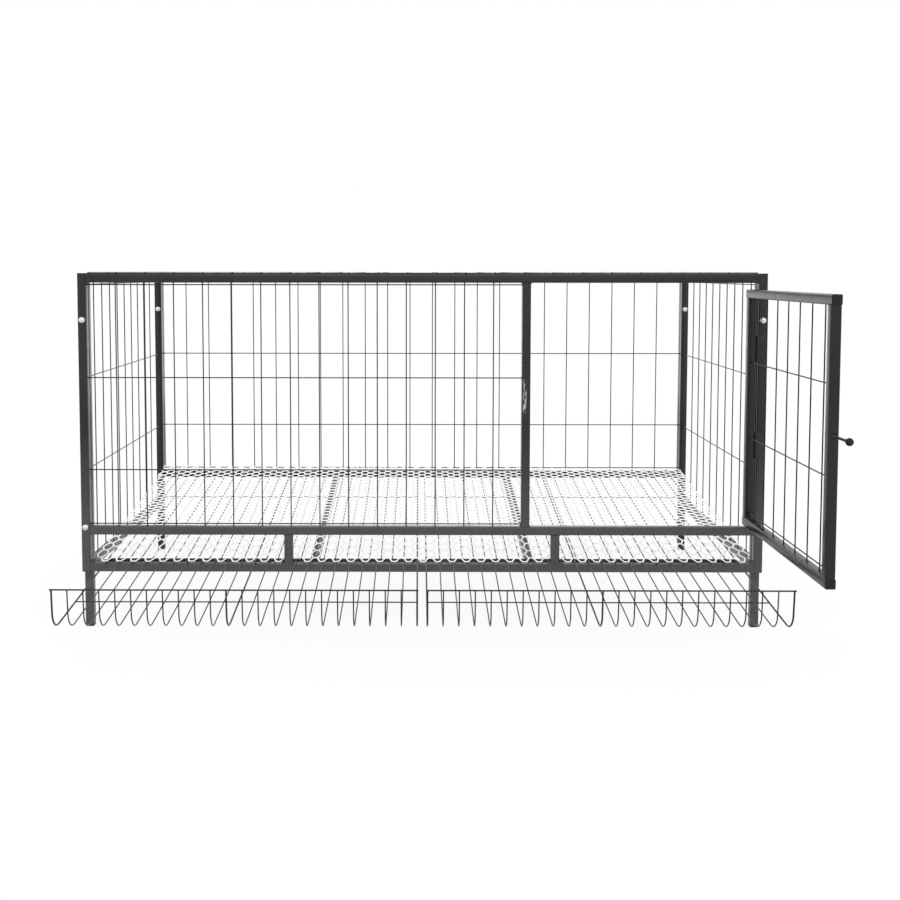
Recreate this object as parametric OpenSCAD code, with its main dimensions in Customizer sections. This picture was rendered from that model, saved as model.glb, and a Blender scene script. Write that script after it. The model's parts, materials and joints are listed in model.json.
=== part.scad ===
// Laying cage on legs: a square-tube frame with wire panels, a netted sloping floor, roll-out egg trays and a
// side-hung door with a slide latch.
// All sizes are in millimetres. X runs across the front, Y to the back and Z up from the ground.

/* [Cage] */
// Width over the frame
cage_w = 1200; // [1000:10:1400]
// Depth over the front and back frames
cage_d = 582; // [500:2:660]
// Height of the frame tops above the ground
cage_h = 628; // [590:2:700]
// Height of the front bottom rail's underside above the ground
leg_h = 103; // [96:1:130]
// Height of the gap that the eggs roll through
egg_gap = 51; // [46:1:60]

/* [Tube and wire] */
// Outside width of the square tube
tube_w = 15; // [14:0.5:18]
// Wall thickness of the square tube
tube_wall = 1.2; // [1:0.1:1.5]
// Diameter of the panel wires
wire_d = 2; // [1.6:0.1:2.6]
// Spacing of the upright panel wires
wire_pitch = 50.8; // [44:0.4:60]
// Spacing of the level panel wires
level_pitch = 163; // [130:1:190]

/* [Floor and egg trays] */
// Slope of the floor in degrees
floor_slope = 6; // [5:0.5:7]
// Reach of the trays in front of the frame
tray_reach = 285; // [240:1:310]
// Radius of the curl at the front of a tray
curl_r = 28; // [25:1:31]
// Length of the straight wire between the curl and the lip
lip_rise = 38; // [30:1:46]
// Wires across the lip of each tray
tray_wires = 24; // [22:1:26]
// Diameter of the thin tray wires
tray_wire_d = 2; // [1.8:0.1:2.8]
// Diameter of the edge and stiffener rods of a tray
tray_rod_d = 2.8; // [2.6:0.1:4.2]
// Rough distance of the egg gap's struts from the middle
strut_x = 235; // [200:1:260]
// Distance of the floor bars from the middle
floor_bar_x = 192; // [150:1:220]
// Openings across the floor net
net_cells_x = 23; // [18:1:24]
// Rows of openings in the floor net
net_rows = 12; // [9:1:12]
// Width of a strand of the floor net
net_strand = 5; // [3:0.5:7]
// Thickness of the floor net
net_t = 2; // [1.5:0.1:3]

/* [Door] */
// Width of the door opening
door_opening = 395.5; // [340:0.5:440]
// Gap between the door and the top rail
door_top_gap = 11; // [6:0.5:14]
// Gap between the door and the mid rail
door_gap = 5.5; // [4:0.5:8]
// Upright wires in the door
door_wires = 7; // [6:1:8]
// Height of the lower hinge's middle, measured up from the door's bottom edge
hinge_low_z = 142; // [90:1:160]
// Height of the upper hinge's middle, measured down from the door's top edge
hinge_high_z = 102; // [80:1:130]
// Height of a hinge
hinge_h = 44; // [36:1:50]

/* [Latch] */
// Height of the latch bolt above the ground
latch_z = 405; // [390:1:430]
// Diameter of the latch bolt
bolt_d = 8; // [7:0.5:9]
// Travel of the latch bolt
bolt_travel = 7.5; // [6.5:0.5:7.5]
// Diameter of the ball knob
knob_d = 11.5; // [10:0.5:14]
// Distance from the door's face to the middle of the knob
knob_out = 19; // [17:0.5:24]
// Droop of the knob's stem in degrees
stem_droop = 20; // [10:1:25]

/* [Hidden] */

frame_colour = [0.17, 0.17, 0.18];
wire_colour = [0.28, 0.28, 0.29];
plastic_colour = [0.06, 0.06, 0.06];
net_colour = [0.95, 0.95, 0.94];
zinc_colour = [0.78, 0.79, 0.8];
round_fn = 48;
cut = 1;

// Frame planes
half_w = cage_w / 2;
inner_x = half_w - tube_w;
leg_back_y = cage_d - tube_w;
bottom_rail_top = leg_h + tube_w;
mid_rail_z = bottom_rail_top + egg_gap;
mid_rail_top = mid_rail_z + tube_w;
top_rail_z = cage_h - tube_w;
wire_plane = tube_w / 2;
// Depth that crossing wires sink into each other where they are welded
weld = 0.4;
level_offset = wire_d - weld;
edge_wire_gap = 3.5;
edge_wire_margin = 28;
post_x = half_w - tube_w / 2;
centre_post_x = inner_x - door_opening - tube_w;
// Distance that the side panels' uprights stand back from an even spread
side_wire_shift = 8.5;

// Floor plane, measured square to the slope: trays rest on it, the net rests on the tray rods
net_seat = tray_rod_d;
bar_drop = tray_wire_d - weld;
back_rail_top = bottom_rail_top + tan(floor_slope) * leg_back_y;
back_rail_z = back_rail_top - tube_w;
floor_over = 4;
net_front_y = 3;
net_side_gap = level_offset + wire_d / 2 + 1.5;
// Part of a strand's width that a cell's tip stands back
net_tip_inset = 0.6;
leg_gap = 1;

// Egg trays
tray_side_gap = 27;
tray_edge_x = inner_x - tray_side_gap;
tray_inner_x = 7.8;
tray_pitch = (tray_edge_x - tray_inner_x) / (tray_wires - 1);
lip_lean = 5;
tray_flat_run = tray_reach - curl_r - lip_lean;
lip_angle = 85;
lip_rod_d = tray_wire_d + weld;
lip_over = 0.6;
curl_sweep = lip_angle + floor_slope;
// Wires under the net start behind the front rail and lie closer together than the tray's wires
floor_wires = tray_wires + 2;
floor_wire_pitch = (tray_edge_x - tray_inner_x) / (floor_wires + 1);
floor_wire_shift = 3.5;
// Two cross wires just above the front rails, where the tray's wires end and the floor's wires start
join_lift = 0.3;
join_y = (bar_drop + join_lift) / sin(floor_slope);
join_step = 6;
wire_past_join = 2;
// Distances of the cross wires from the front, measured along the slope
tray_cross_y = [-0.58 * tray_reach, join_y, join_y + join_step, 0.655 * cage_d, 0.95 * cage_d];
// The stiffener rod takes the place of this wire, counted from the outer edge of the left and right tray
stiffener_wires = [11, 12];
strut_wire = round((tray_edge_x - strut_x) / tray_pitch - 0.5);
strut_mid_x = tray_edge_x - (strut_wire + 0.5) * tray_pitch;

// Fasteners
screw_d = 3;
screw_hole_d = 3.2;
bolt_shank_d = 6;
bolt_hole_d = 6.6;
bolt_head_d = 11.5;
bolt_head_h = 4;
nut_across = 10;
nut_h = 3.2;
bolt_past_nut = 0.8;
bolt_top_drop = 80;
bolt_top_z = cage_h - bolt_top_drop;
bolt_low_drop = 2;
bolt_low_front_z = mid_rail_top - bolt_low_drop;
bolt_low_back_z = back_rail_z + tube_w / 2;
screw_past_wall = 1;
cap_t = 1.5;
foot_t = 3;
plug_depth = 10;
plug_play = 0.1;

// Roof
roof_side_gap = 3;
roof_x = inner_x - roof_side_gap;
roof_wire_inset = 6;
roof_wire_end = half_w - roof_wire_inset;
clip_w = 8;
clip_len = 18;
clip_t = 1.2;
clip_hump = 5;
clip_screw_step = 6;
clip_head_d = 5;
clip_head_h = 1.6;
clip_screw_len = 5;

// Door, described shut and then swung open
door_rest_angle = 90;
hinge_out = 3;
hinge_inset = 5;
hinge_x = inner_x - hinge_inset;
barrel_r = 2.9;
pin_r = 1.5;
pin_play = 0.05;
pin_head_r = 2.4;
pin_head_h = 1.2;
leaf_t = 1.8;
leaf_reach = 17;
leaf_step = 0.5;
knuckle_gap = 0.4;
knuckle_h = (hinge_h - 2 * knuckle_gap) / 3;
leaf_screw_x = 10;
leaf_screw_z = hinge_h / 2 - 8;
leaf_head_d = 5;
leaf_head_h = 0.6;
door_latch_gap = 3.5;
door_hinge_gap = 4;
door_left = centre_post_x + tube_w + door_latch_gap;
door_right = inner_x - door_hinge_gap;
door_low = mid_rail_top + door_gap;
door_high = top_rail_z - door_top_gap;
lower_hinge_z = door_low + hinge_low_z;
upper_hinge_z = door_high - hinge_high_z;
hinge_heights = [lower_hinge_z, upper_hinge_z];
door_level_steps = [110.5, 131];

// Latch
bolt_play = 0.05;
keeper_play = 0.4;
bolt_tail = 1.5;
bolt_len = tube_w + bolt_travel + bolt_tail;
stem_d = 4;
slot_d = 5.6;
slot_end = 0.2;
slot_depth = tube_wall + 0.5;
stem_x = door_left + tube_w - (tube_w - bolt_travel) / 2;
stem_drop = (wire_plane - tube_wall / 2) * tan(stem_droop);
stem_len = (wire_plane + knob_out) / cos(stem_droop);
knob_depth = 3;

// The origin is under the middle of the cage's outer box, on the ground
box_right = max(half_w, hinge_x - hinge_out + knob_out + knob_d / 2);
box_front = hinge_x - door_left + cap_t + hinge_out;
box_back = cage_d + nut_h + bolt_past_nut;
origin_x = (box_right - half_w) / 2;
origin_y = (box_back - box_front) / 2;

// Upright wire places that keep the pitch and centre the set between two frame faces
function spread(low, high, pitch) =
  let (count = floor((high - low - 2 * edge_wire_margin) / pitch) + 1)
  let (first = (low + high - (count - 1) * pitch) / 2)
  [for (i = [0 : count - 1]) first + i * pitch];

// Level wire heights: one at the top edge, then steps down while they stay clear of the bottom edge
function levels(low) =
  let (top = top_rail_z - edge_wire_gap)
  [for (z = top; z > low + level_pitch / 3; z = z - level_pitch) z];

// Frame shapes

module place() {
  translate([-origin_x, -origin_y, 0]) children();
}

// A square tube from the origin along X (0), Y (1) or Z (2)
module tube(length, along) {
  outside = [for (i = [0 : 2]) i == along ? length : tube_w];
  inside = [for (i = [0 : 2]) i == along ? length + 2 * cut : tube_w - 2 * tube_wall];
  start = [for (i = [0 : 2]) i == along ? -cut : tube_wall];
  difference() {
    cube(outside);
    translate(start) cube(inside);
  }
}

module rod(from, to, d) {
  run = to - from;
  translate(from)
    rotate([0, acos(run[2] / norm(run)), atan2(run[1], run[0])])
      cylinder(d = d, h = norm(run), $fn = round_fn);
}

// A drill along Y from a point
module drill_y(at, depth, d) {
  translate(at) rotate([-90, 0, 0]) cylinder(d = d, h = depth, $fn = round_fn);
}

// An upright with its low corner at a place, drilled through for two corner bolts
module bolted_upright(at, top, bolt_heights) {
  difference() {
    translate(at) tube(top - at[2], 2);
    for (z = bolt_heights)
      drill_y([at[0] + tube_w / 2, at[1] - cut, z], tube_w + 2 * cut, bolt_hole_d);
  }
}

module on_slope() {
  translate([0, 0, bottom_rail_top]) rotate([floor_slope, 0, 0]) children();
}

// A flat panel of wires across X: uprights, and level wires just behind them
module wires_across(y, x_low, x_high, z_low, z_high, uprights, heights) {
  for (x = uprights) rod([x, y, z_low], [x, y, z_high], wire_d);
  for (z = heights) rod([x_low, y + level_offset, z], [x_high, y + level_offset, z], wire_d);
}

// Front frame

module front_left_post() {
  color(frame_colour) bolted_upright([-half_w, 0, leg_h], cage_h, [bolt_low_front_z, bolt_top_z]);
}

module front_right_post() {
  color(frame_colour)
    difference() {
      bolted_upright([inner_x, 0, leg_h], cage_h, [bolt_low_front_z, bolt_top_z]);
      for (z = hinge_heights, side = [-1, 1])
        drill_y([hinge_x + leaf_screw_x, -cut, z + side * leaf_screw_z], 2 * tube_wall + cut, screw_hole_d);
    }
}

module front_centre_post() {
  color(frame_colour)
    difference() {
      translate([centre_post_x, 0, mid_rail_top]) tube(top_rail_z - mid_rail_top, 2);
      translate([centre_post_x + tube_w / 2, wire_plane, latch_z])
        rotate([0, 90, 0]) cylinder(d = bolt_d + 2 * keeper_play, h = tube_w, $fn = round_fn);
    }
}

module front_rail(z) {
  translate([-inner_x, 0, z]) tube(2 * inner_x, 0);
}

module front_top_rail() {
  color(frame_colour) front_rail(top_rail_z);
}

module front_mid_rail() {
  color(frame_colour) front_rail(mid_rail_z);
}

module front_bottom_rail() {
  color(frame_colour) front_rail(leg_h);
}

module egg_gap_strut(x) {
  translate([x - tube_w / 2, 0, bottom_rail_top]) tube(egg_gap, 2);
}

module egg_gap_strut_left() {
  color(frame_colour) egg_gap_strut(-strut_mid_x);
}

module egg_gap_strut_right() {
  color(frame_colour) egg_gap_strut(strut_mid_x);
}

module front_wire_panel() {
  heights = concat(levels(mid_rail_top), [mid_rail_top + edge_wire_gap]);
  uprights = spread(-inner_x, centre_post_x, wire_pitch);
  color(wire_colour)
    wires_across(wire_plane, -inner_x, centre_post_x, mid_rail_top, top_rail_z, uprights, heights);
}

// Back frame

module back_left_post() {
  color(frame_colour)
    bolted_upright([-half_w, leg_back_y, back_rail_z], cage_h, [bolt_low_back_z, bolt_top_z]);
}

module back_right_post() {
  mirror([1, 0, 0]) back_left_post();
}

module back_top_rail() {
  color(frame_colour) translate([0, leg_back_y, 0]) front_rail(top_rail_z);
}

module back_bottom_rail() {
  color(frame_colour) translate([0, leg_back_y, 0]) front_rail(back_rail_z);
}

module back_wire_panel() {
  heights = concat(levels(back_rail_top), [back_rail_top + 2 * edge_wire_gap]);
  uprights = spread(-inner_x, inner_x, wire_pitch);
  color(wire_colour)
    wires_across(leg_back_y + wire_plane, -inner_x, inner_x, back_rail_top, top_rail_z, uprights, heights);
}

// Side frames

module left_front_leg() {
  color(frame_colour) bolted_upright([-half_w, tube_w, foot_t], cage_h, [bolt_low_front_z, bolt_top_z]);
}

module left_back_leg() {
  color(frame_colour)
    bolted_upright([-half_w, leg_back_y - tube_w, foot_t], cage_h, [bolt_low_back_z, bolt_top_z]);
}

// The roof's level wires, which also set the places of its clips
function roof_levels() = spread(2 * tube_w, leg_back_y - tube_w, level_pitch);
function clip_levels() = [roof_levels()[0], roof_levels()[len(roof_levels()) - 1]];

module left_top_rail() {
  color(frame_colour)
    difference() {
      translate([-half_w, 2 * tube_w, top_rail_z]) tube(leg_back_y - 3 * tube_w, 1);
      for (y = clip_levels())
        translate([-post_x, y + clip_screw_step, cage_h - tube_wall - cut])
          cylinder(d = screw_hole_d, h = tube_wall + 2 * cut, $fn = round_fn);
    }
}

module left_bottom_rail() {
  color(frame_colour) translate([-half_w, 2 * tube_w, leg_h]) tube(leg_back_y - 3 * tube_w, 1);
}

module left_wire_panel() {
  front = 2 * tube_w;
  back = leg_back_y - tube_w;
  heights = concat(levels(bottom_rail_top), [bottom_rail_top + 2 * edge_wire_gap]);
  level_x = -post_x + level_offset;
  color(wire_colour) {
    for (y = spread(front, back, wire_pitch))
      translate([-post_x, y + side_wire_shift, 0]) rod([0, 0, bottom_rail_top], [0, 0, top_rail_z], wire_d);
    for (z = heights) rod([level_x, front, z], [level_x, back, z], wire_d);
  }
}

module right_front_leg() {
  mirror([1, 0, 0]) left_front_leg();
}

module right_back_leg() {
  mirror([1, 0, 0]) left_back_leg();
}

module right_top_rail() {
  mirror([1, 0, 0]) left_top_rail();
}

module right_bottom_rail() {
  mirror([1, 0, 0]) left_bottom_rail();
}

module right_wire_panel() {
  mirror([1, 0, 0]) left_wire_panel();
}

// Roof: a wire panel that lies on the top rails between the posts

module roof_wire_panel() {
  low_z = cage_h + wire_d / 2;
  high_z = low_z + level_offset;
  edges_y = [wire_plane, leg_back_y + wire_plane];
  color(wire_colour) {
    for (y = edges_y) rod([-roof_x - wire_d, y, low_z], [roof_x + wire_d, y, low_z], wire_d);
    for (y = roof_levels()) rod([-roof_wire_end, y, low_z], [roof_wire_end, y, low_z], wire_d);
    for (x = concat([-roof_x], spread(-inner_x, inner_x, wire_pitch), [roof_x]))
      rod([x, edges_y[0] - wire_d, high_z], [x, edges_y[1] + wire_d, high_z], wire_d);
  }
}

module roof_clip() {
  hump_h = wire_d + clip_t;
  difference() {
    union() {
      translate([-clip_w / 2, -clip_len / 2, 0]) cube([clip_w, clip_len, clip_t]);
      translate([-clip_w / 2, -clip_hump / 2, 0]) cube([clip_w, clip_hump, hump_h]);
    }
    rod([-clip_w, 0, wire_d / 2], [clip_w, 0, wire_d / 2], wire_d);
    translate([-clip_w, -wire_d / 2, -cut]) cube([2 * clip_w, wire_d, wire_d / 2 + cut]);
    translate([0, clip_screw_step, -cut])
      cylinder(d = screw_hole_d, h = clip_t + 2 * cut, $fn = round_fn);
  }
}

module at_roof_clips() {
  for (x = [-post_x, post_x], y = clip_levels()) translate([x, y, cage_h]) children();
}

module roof_clips() {
  color(zinc_colour) at_roof_clips() roof_clip();
}

module roof_clip_screws() {
  color(zinc_colour)
    at_roof_clips()
      translate([0, clip_screw_step, 0]) {
        translate([0, 0, clip_t]) cylinder(d = clip_head_d, h = clip_head_h, $fn = round_fn);
        translate([0, 0, -clip_screw_len]) cylinder(d = screw_d, h = clip_screw_len + clip_t, $fn = round_fn);
      }
}

// Floor

// A second rail behind the front bottom rail, between the front legs
module front_floor_rail() {
  color(frame_colour) translate([0, tube_w, 0]) front_rail(leg_h);
}

// A tube laid under the floor slope, with upright ends on the front floor rail and the back rail
module floor_bar(x) {
  front = 2 * tube_w;
  intersection() {
    on_slope() translate([x - tube_w / 2, 0, -bar_drop - tube_w]) tube(leg_back_y + 2 * tube_w, 1);
    translate([x - tube_w, front, 0]) cube([2 * tube_w, leg_back_y - front, cage_h]);
  }
}

module floor_bar_left() {
  color(frame_colour) floor_bar(-floor_bar_x);
}

module floor_bar_right() {
  color(frame_colour) floor_bar(floor_bar_x);
}

// One six-sided opening of the net, drawn round the origin
module net_opening(pitch_x, pitch_y) {
  half_x = (pitch_x - net_strand) / 2;
  tip_y = 2 / 3 * pitch_y - net_tip_inset * net_strand;
  side_y = pitch_y / 3 - net_tip_inset / 2 * net_strand;
  right = [[0, tip_y], [half_x, side_y], [half_x, -side_y]];
  polygon(concat(right, -right));
}

module floor_net() {
  half_net = post_x - net_side_gap;
  half_field = inner_x - leg_gap;
  back_y = leg_back_y + floor_over;
  strut_cut = tube_w + 2 * leg_gap;
  field_front = strut_cut + net_strand;
  field_back = back_y - net_strand;
  pitch_x = 2 * half_field / net_cells_x;
  pitch_y = (field_back - field_front) / (net_rows + 1 / 3);
  color(net_colour)
    on_slope()
      translate([0, 0, net_seat])
        linear_extrude(net_t)
          difference() {
            translate([-half_net, net_front_y]) square([2 * half_net, back_y - net_front_y]);
            for (side = [0, 1], y = [0, leg_back_y - tube_w - leg_gap])
              mirror([side, 0]) translate([half_field, y]) square([2 * tube_w, 2 * tube_w + leg_gap]);
            for (side = [-1, 1])
              translate([side * strut_mid_x - strut_cut / 2, 0]) square(strut_cut);
            intersection() {
              translate([-half_field, field_front]) square([2 * half_field, field_back - field_front]);
              for (row = [0 : net_rows - 1], column = [0 : net_cells_x - 1 + row % 2])
                translate([(column - (net_cells_x - 1 + row % 2) / 2) * pitch_x,
                           field_front + (row + 2 / 3) * pitch_y])
                  net_opening(pitch_x, pitch_y);
            }
          }
}

// One tray wire: from its back end along the slope, round the curl and up to the lip
module tray_wire(x, d, back_run) {
  bend_r = curl_r - d / 2;
  rod([x, -tray_flat_run, d / 2], [x, back_run, d / 2], d);
  translate([x, -tray_flat_run, curl_r])
    rotate([90, 0, 90])
      rotate([0, 0, -90 - curl_sweep]) {
        rotate_extrude(angle = curl_sweep, $fn = round_fn)
          translate([bend_r, 0]) circle(d = d, $fn = round_fn);
        translate([bend_r, 0, 0]) rotate([90, 0, 0]) cylinder(d = d, h = lip_rise, $fn = round_fn);
      }
}

// The left tray, from its outer edge at -X to its inner edge by the middle
module egg_tray(stiffener_wire) {
  lip_r = curl_r - tray_rod_d / 2;
  lip_y = -tray_flat_run - lip_r * cos(curl_sweep - 90) + lip_rise * sin(curl_sweep - 90);
  lip_z = curl_r + lip_r * sin(curl_sweep - 90) + lip_rise * cos(curl_sweep - 90);
  lip_inner_x = -tray_inner_x + tray_rod_d / 2 + lip_over;
  cross_z = tray_wire_d / 2 - bar_drop;
  back_run = (leg_back_y + floor_over) / cos(floor_slope);
  floor_start = join_y + join_step - wire_past_join;
  stiffener_x = -tray_edge_x + stiffener_wire * tray_pitch;
  floor_x = [for (i = [1 : floor_wires]) -tray_inner_x - floor_wire_shift - i * floor_wire_pitch];
  on_slope() {
    for (i = [1 : tray_wires - 2])
      if (i != stiffener_wire)
        tray_wire(-tray_edge_x + i * tray_pitch, tray_wire_d, join_y + wire_past_join);
    for (x = [-tray_edge_x, stiffener_x, -tray_inner_x])
      tray_wire(x, tray_rod_d, back_run);
    for (x = floor_x)
      if (abs(x - stiffener_x) > tray_rod_d)
        translate([x, 0, tray_wire_d / 2]) rod([0, floor_start, 0], [0, back_run, 0], tray_wire_d);
    rod([-tray_edge_x - tray_rod_d, lip_y, lip_z], [lip_inner_x, lip_y, lip_z], lip_rod_d);
    for (y = tray_cross_y)
      rod([-tray_edge_x, y, cross_z], [-tray_inner_x, y, cross_z], tray_wire_d);
  }
}

module left_egg_tray() {
  color(wire_colour) egg_tray(stiffener_wires[0]);
}

module right_egg_tray() {
  color(wire_colour) mirror([1, 0, 0]) egg_tray(stiffener_wires[1]);
}

// Door, drawn shut and swung to its rest angle about the hinge line

module door_swing() {
  translate([hinge_x, -hinge_out, 0])
    rotate([0, 0, door_rest_angle])
      translate([-hinge_x, hinge_out, 0]) children();
}

module door_hinge_stile() {
  color(frame_colour)
    door_swing()
      difference() {
        translate([door_right - tube_w, 0, door_low + tube_w]) tube(door_high - door_low - 2 * tube_w, 2);
        for (z = hinge_heights, side = [-1, 1])
          drill_y([hinge_x - leaf_screw_x, -cut, z + side * leaf_screw_z], 2 * tube_wall + cut, screw_hole_d);
      }
}

module door_latch_stile() {
  color(frame_colour)
    door_swing()
      difference() {
        translate([door_left, 0, door_low + tube_w]) tube(door_high - door_low - 2 * tube_w, 2);
        translate([door_left - cut, wire_plane, latch_z])
          rotate([0, 90, 0]) cylinder(d = bolt_d + 2 * bolt_play, h = tube_w + 2 * cut, $fn = round_fn);
        for (x = [stem_x - bolt_travel - slot_end, stem_x + slot_end])
          drill_y([x, -cut, latch_z - stem_drop], slot_depth + cut, slot_d);
        translate([stem_x - bolt_travel, -cut, latch_z - stem_drop - slot_d / 2])
          cube([bolt_travel, slot_depth + cut, slot_d]);
      }
}

module door_rail(z) {
  translate([door_left, 0, z]) tube(door_right - door_left, 0);
}

module door_top_rail() {
  color(frame_colour) door_swing() door_rail(door_high - tube_w);
}

module door_bottom_rail() {
  color(frame_colour) door_swing() door_rail(door_low);
}

module door_wire_panel() {
  left = door_left + tube_w;
  right = door_right - tube_w;
  low = door_low + tube_w;
  high = door_high - tube_w;
  pitch = (right - left) / door_wires;
  uprights = [for (i = [0 : door_wires - 1]) left + (i + 0.5) * pitch];
  bottom_level = low + 3 * edge_wire_gap;
  upper_level = high - door_level_steps[0];
  heights = [upper_level, upper_level - door_level_steps[1], bottom_level];
  color(wire_colour) door_swing() wires_across(wire_plane, left, right, low, high, uprights, heights);
}

// A square plug whose flange lies on Z = 0 and whose body goes down into a tube
module tube_plug(flange_t) {
  body_w = tube_w - 2 * tube_wall - plug_play;
  translate([-tube_w / 2, -tube_w / 2, 0]) cube([tube_w, tube_w, flange_t]);
  translate([-body_w / 2, -body_w / 2, -plug_depth]) cube([body_w, body_w, plug_depth]);
}

module door_rail_plugs() {
  color(plastic_colour)
    door_swing()
      for (z = [door_low + tube_w / 2, door_high - tube_w / 2]) {
        translate([door_left, wire_plane, z]) rotate([0, -90, 0]) tube_plug(cap_t);
        translate([door_right, wire_plane, z]) rotate([0, 90, 0]) tube_plug(cap_t);
      }
}

// Hinges: a leaf on the face of each upright, with knuckles round one pin

// A leaf that reaches to +X from the hinge line, with the knuckles named by their place from the bottom
module hinge_leaf(knuckles) {
  plate_x = barrel_r + leaf_step;
  difference() {
    union() {
      translate([plate_x, hinge_out - leaf_t, 0]) cube([leaf_reach - plate_x, leaf_t, hinge_h]);
      for (k = knuckles)
        translate([0, 0, k * (knuckle_h + knuckle_gap)]) {
          cylinder(r = barrel_r, h = knuckle_h, $fn = round_fn);
          translate([0, hinge_out - leaf_t, 0]) cube([plate_x + leaf_step, leaf_t, knuckle_h]);
        }
    }
    translate([0, 0, -cut]) cylinder(r = pin_r + pin_play, h = hinge_h + 2 * cut, $fn = round_fn);
    for (side = [-1, 1])
      drill_y([leaf_screw_x, 0, hinge_h / 2 + side * leaf_screw_z], hinge_out + cut, screw_hole_d);
  }
}

module at_hinge(z) {
  translate([hinge_x, -hinge_out, z - hinge_h / 2]) children();
}

module upper_post_leaf() {
  color(frame_colour) at_hinge(upper_hinge_z) hinge_leaf([0, 2]);
}

module lower_post_leaf() {
  color(frame_colour) at_hinge(lower_hinge_z) hinge_leaf([0, 2]);
}

module upper_door_leaf() {
  color(frame_colour) door_swing() at_hinge(upper_hinge_z) mirror([1, 0, 0]) hinge_leaf([1]);
}

module lower_door_leaf() {
  color(frame_colour) door_swing() at_hinge(lower_hinge_z) mirror([1, 0, 0]) hinge_leaf([1]);
}

module hinge_pin() {
  cylinder(r = pin_r, h = hinge_h, $fn = round_fn);
  translate([0, 0, hinge_h]) cylinder(r = pin_head_r, h = pin_head_h, $fn = round_fn);
}

module upper_hinge_pin() {
  color(zinc_colour) at_hinge(upper_hinge_z) hinge_pin();
}

module lower_hinge_pin() {
  color(zinc_colour) at_hinge(lower_hinge_z) hinge_pin();
}

// The two screws of one leaf, at a distance along X from the hinge line
module leaf_screws(x) {
  for (side = [-1, 1])
    translate([x, hinge_out - leaf_t - leaf_head_h, hinge_h / 2 + side * leaf_screw_z])
      rotate([-90, 0, 0]) {
        cylinder(d = leaf_head_d, h = leaf_head_h, $fn = round_fn);
        cylinder(d = screw_d, h = leaf_head_h + leaf_t + tube_wall + screw_past_wall, $fn = round_fn);
      }
}

module post_leaf_screws() {
  color(frame_colour)
    for (z = hinge_heights) at_hinge(z) leaf_screws(leaf_screw_x);
}

module door_leaf_screws() {
  color(frame_colour)
    door_swing()
      for (z = hinge_heights) at_hinge(z) leaf_screws(-leaf_screw_x);
}

// Latch: a round bolt that slides through the latch stile, moved by a ball knob on its stem

module at_latch() {
  door_swing() translate([stem_x, wire_plane, latch_z]) children();
}

module latch_stem(length) {
  rotate([90 + stem_droop, 0, 0]) cylinder(d = stem_d, h = length, $fn = round_fn);
}

module latch_bolt() {
  color(frame_colour)
    at_latch() {
      translate([door_left - stem_x, 0, 0])
        rotate([0, 90, 0]) cylinder(d = bolt_d, h = bolt_len, $fn = round_fn);
      latch_stem(stem_len - knob_d / 2 + knob_depth);
    }
}

module latch_knob() {
  color(plastic_colour)
    at_latch()
      difference() {
        rotate([90 + stem_droop, 0, 0]) translate([0, 0, stem_len]) sphere(d = knob_d, $fn = round_fn);
        latch_stem(stem_len - knob_d / 2 + knob_depth);
      }
}

// Corner bolts go in from the front through the paired uprights

// A bolt whose head lies on Z = 0 and whose shank runs along +Z
module corner_bolt() {
  dome_r = (pow(bolt_head_d / 2, 2) + pow(bolt_head_h, 2)) / (2 * bolt_head_h);
  intersection() {
    translate([0, 0, dome_r - bolt_head_h]) sphere(r = dome_r, $fn = round_fn);
    translate([0, 0, -bolt_head_h]) cylinder(d = 2 * bolt_head_d, h = bolt_head_h, $fn = round_fn);
  }
  cylinder(d = bolt_shank_d, h = 2 * tube_w + nut_h + bolt_past_nut, $fn = round_fn);
}

// The bolts' places: heads on the front posts and on the back legs inside the cage
module at_corner_bolts() {
  for (side = [-1, 1]) {
    for (z = [bolt_low_front_z, bolt_top_z])
      translate([side * post_x, 0, z]) rotate([-90, 0, 0]) children();
    for (z = [bolt_low_back_z, bolt_top_z])
      translate([side * post_x, leg_back_y - tube_w, z]) rotate([-90, 0, 0]) children();
  }
}

module corner_bolts() {
  color(zinc_colour) at_corner_bolts() corner_bolt();
}

module corner_nuts() {
  color(zinc_colour)
    at_corner_bolts()
      translate([0, 0, 2 * tube_w])
        difference() {
          cylinder(d = nut_across / cos(30), h = nut_h, $fn = 6);
          translate([0, 0, -cut]) cylinder(d = bolt_shank_d, h = nut_h + 2 * cut, $fn = round_fn);
        }
}

// Plastic ends of the uprights

module post_caps() {
  color(plastic_colour)
    for (x = [-post_x, post_x], y = [0, tube_w, leg_back_y - tube_w, leg_back_y])
      translate([x, y + tube_w / 2, cage_h]) tube_plug(cap_t);
}

module foot_caps() {
  color(plastic_colour)
    for (x = [-post_x, post_x], y = [tube_w, leg_back_y - tube_w])
      translate([x, y + tube_w / 2, foot_t]) mirror([0, 0, 1]) tube_plug(foot_t);
}

place() front_left_post();
place() front_right_post();
place() front_centre_post();
place() front_top_rail();
place() front_mid_rail();
place() front_bottom_rail();
place() egg_gap_strut_left();
place() egg_gap_strut_right();
place() front_wire_panel();
place() back_left_post();
place() back_right_post();
place() back_top_rail();
place() back_bottom_rail();
place() back_wire_panel();
place() left_front_leg();
place() left_back_leg();
place() left_top_rail();
place() left_bottom_rail();
place() left_wire_panel();
place() right_front_leg();
place() right_back_leg();
place() right_top_rail();
place() right_bottom_rail();
place() right_wire_panel();
place() roof_wire_panel();
place() roof_clips();
place() roof_clip_screws();
place() front_floor_rail();
place() floor_bar_left();
place() floor_bar_right();
place() floor_net();
place() left_egg_tray();
place() right_egg_tray();
place() upper_post_leaf();
place() lower_post_leaf();
place() upper_hinge_pin();
place() lower_hinge_pin();
place() post_leaf_screws();
place() corner_bolts();
place() corner_nuts();
place() post_caps();
place() foot_caps();
place() door_hinge_stile();
place() door_latch_stile();
place() door_top_rail();
place() door_bottom_rail();
place() door_wire_panel();
place() door_rail_plugs();
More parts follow.
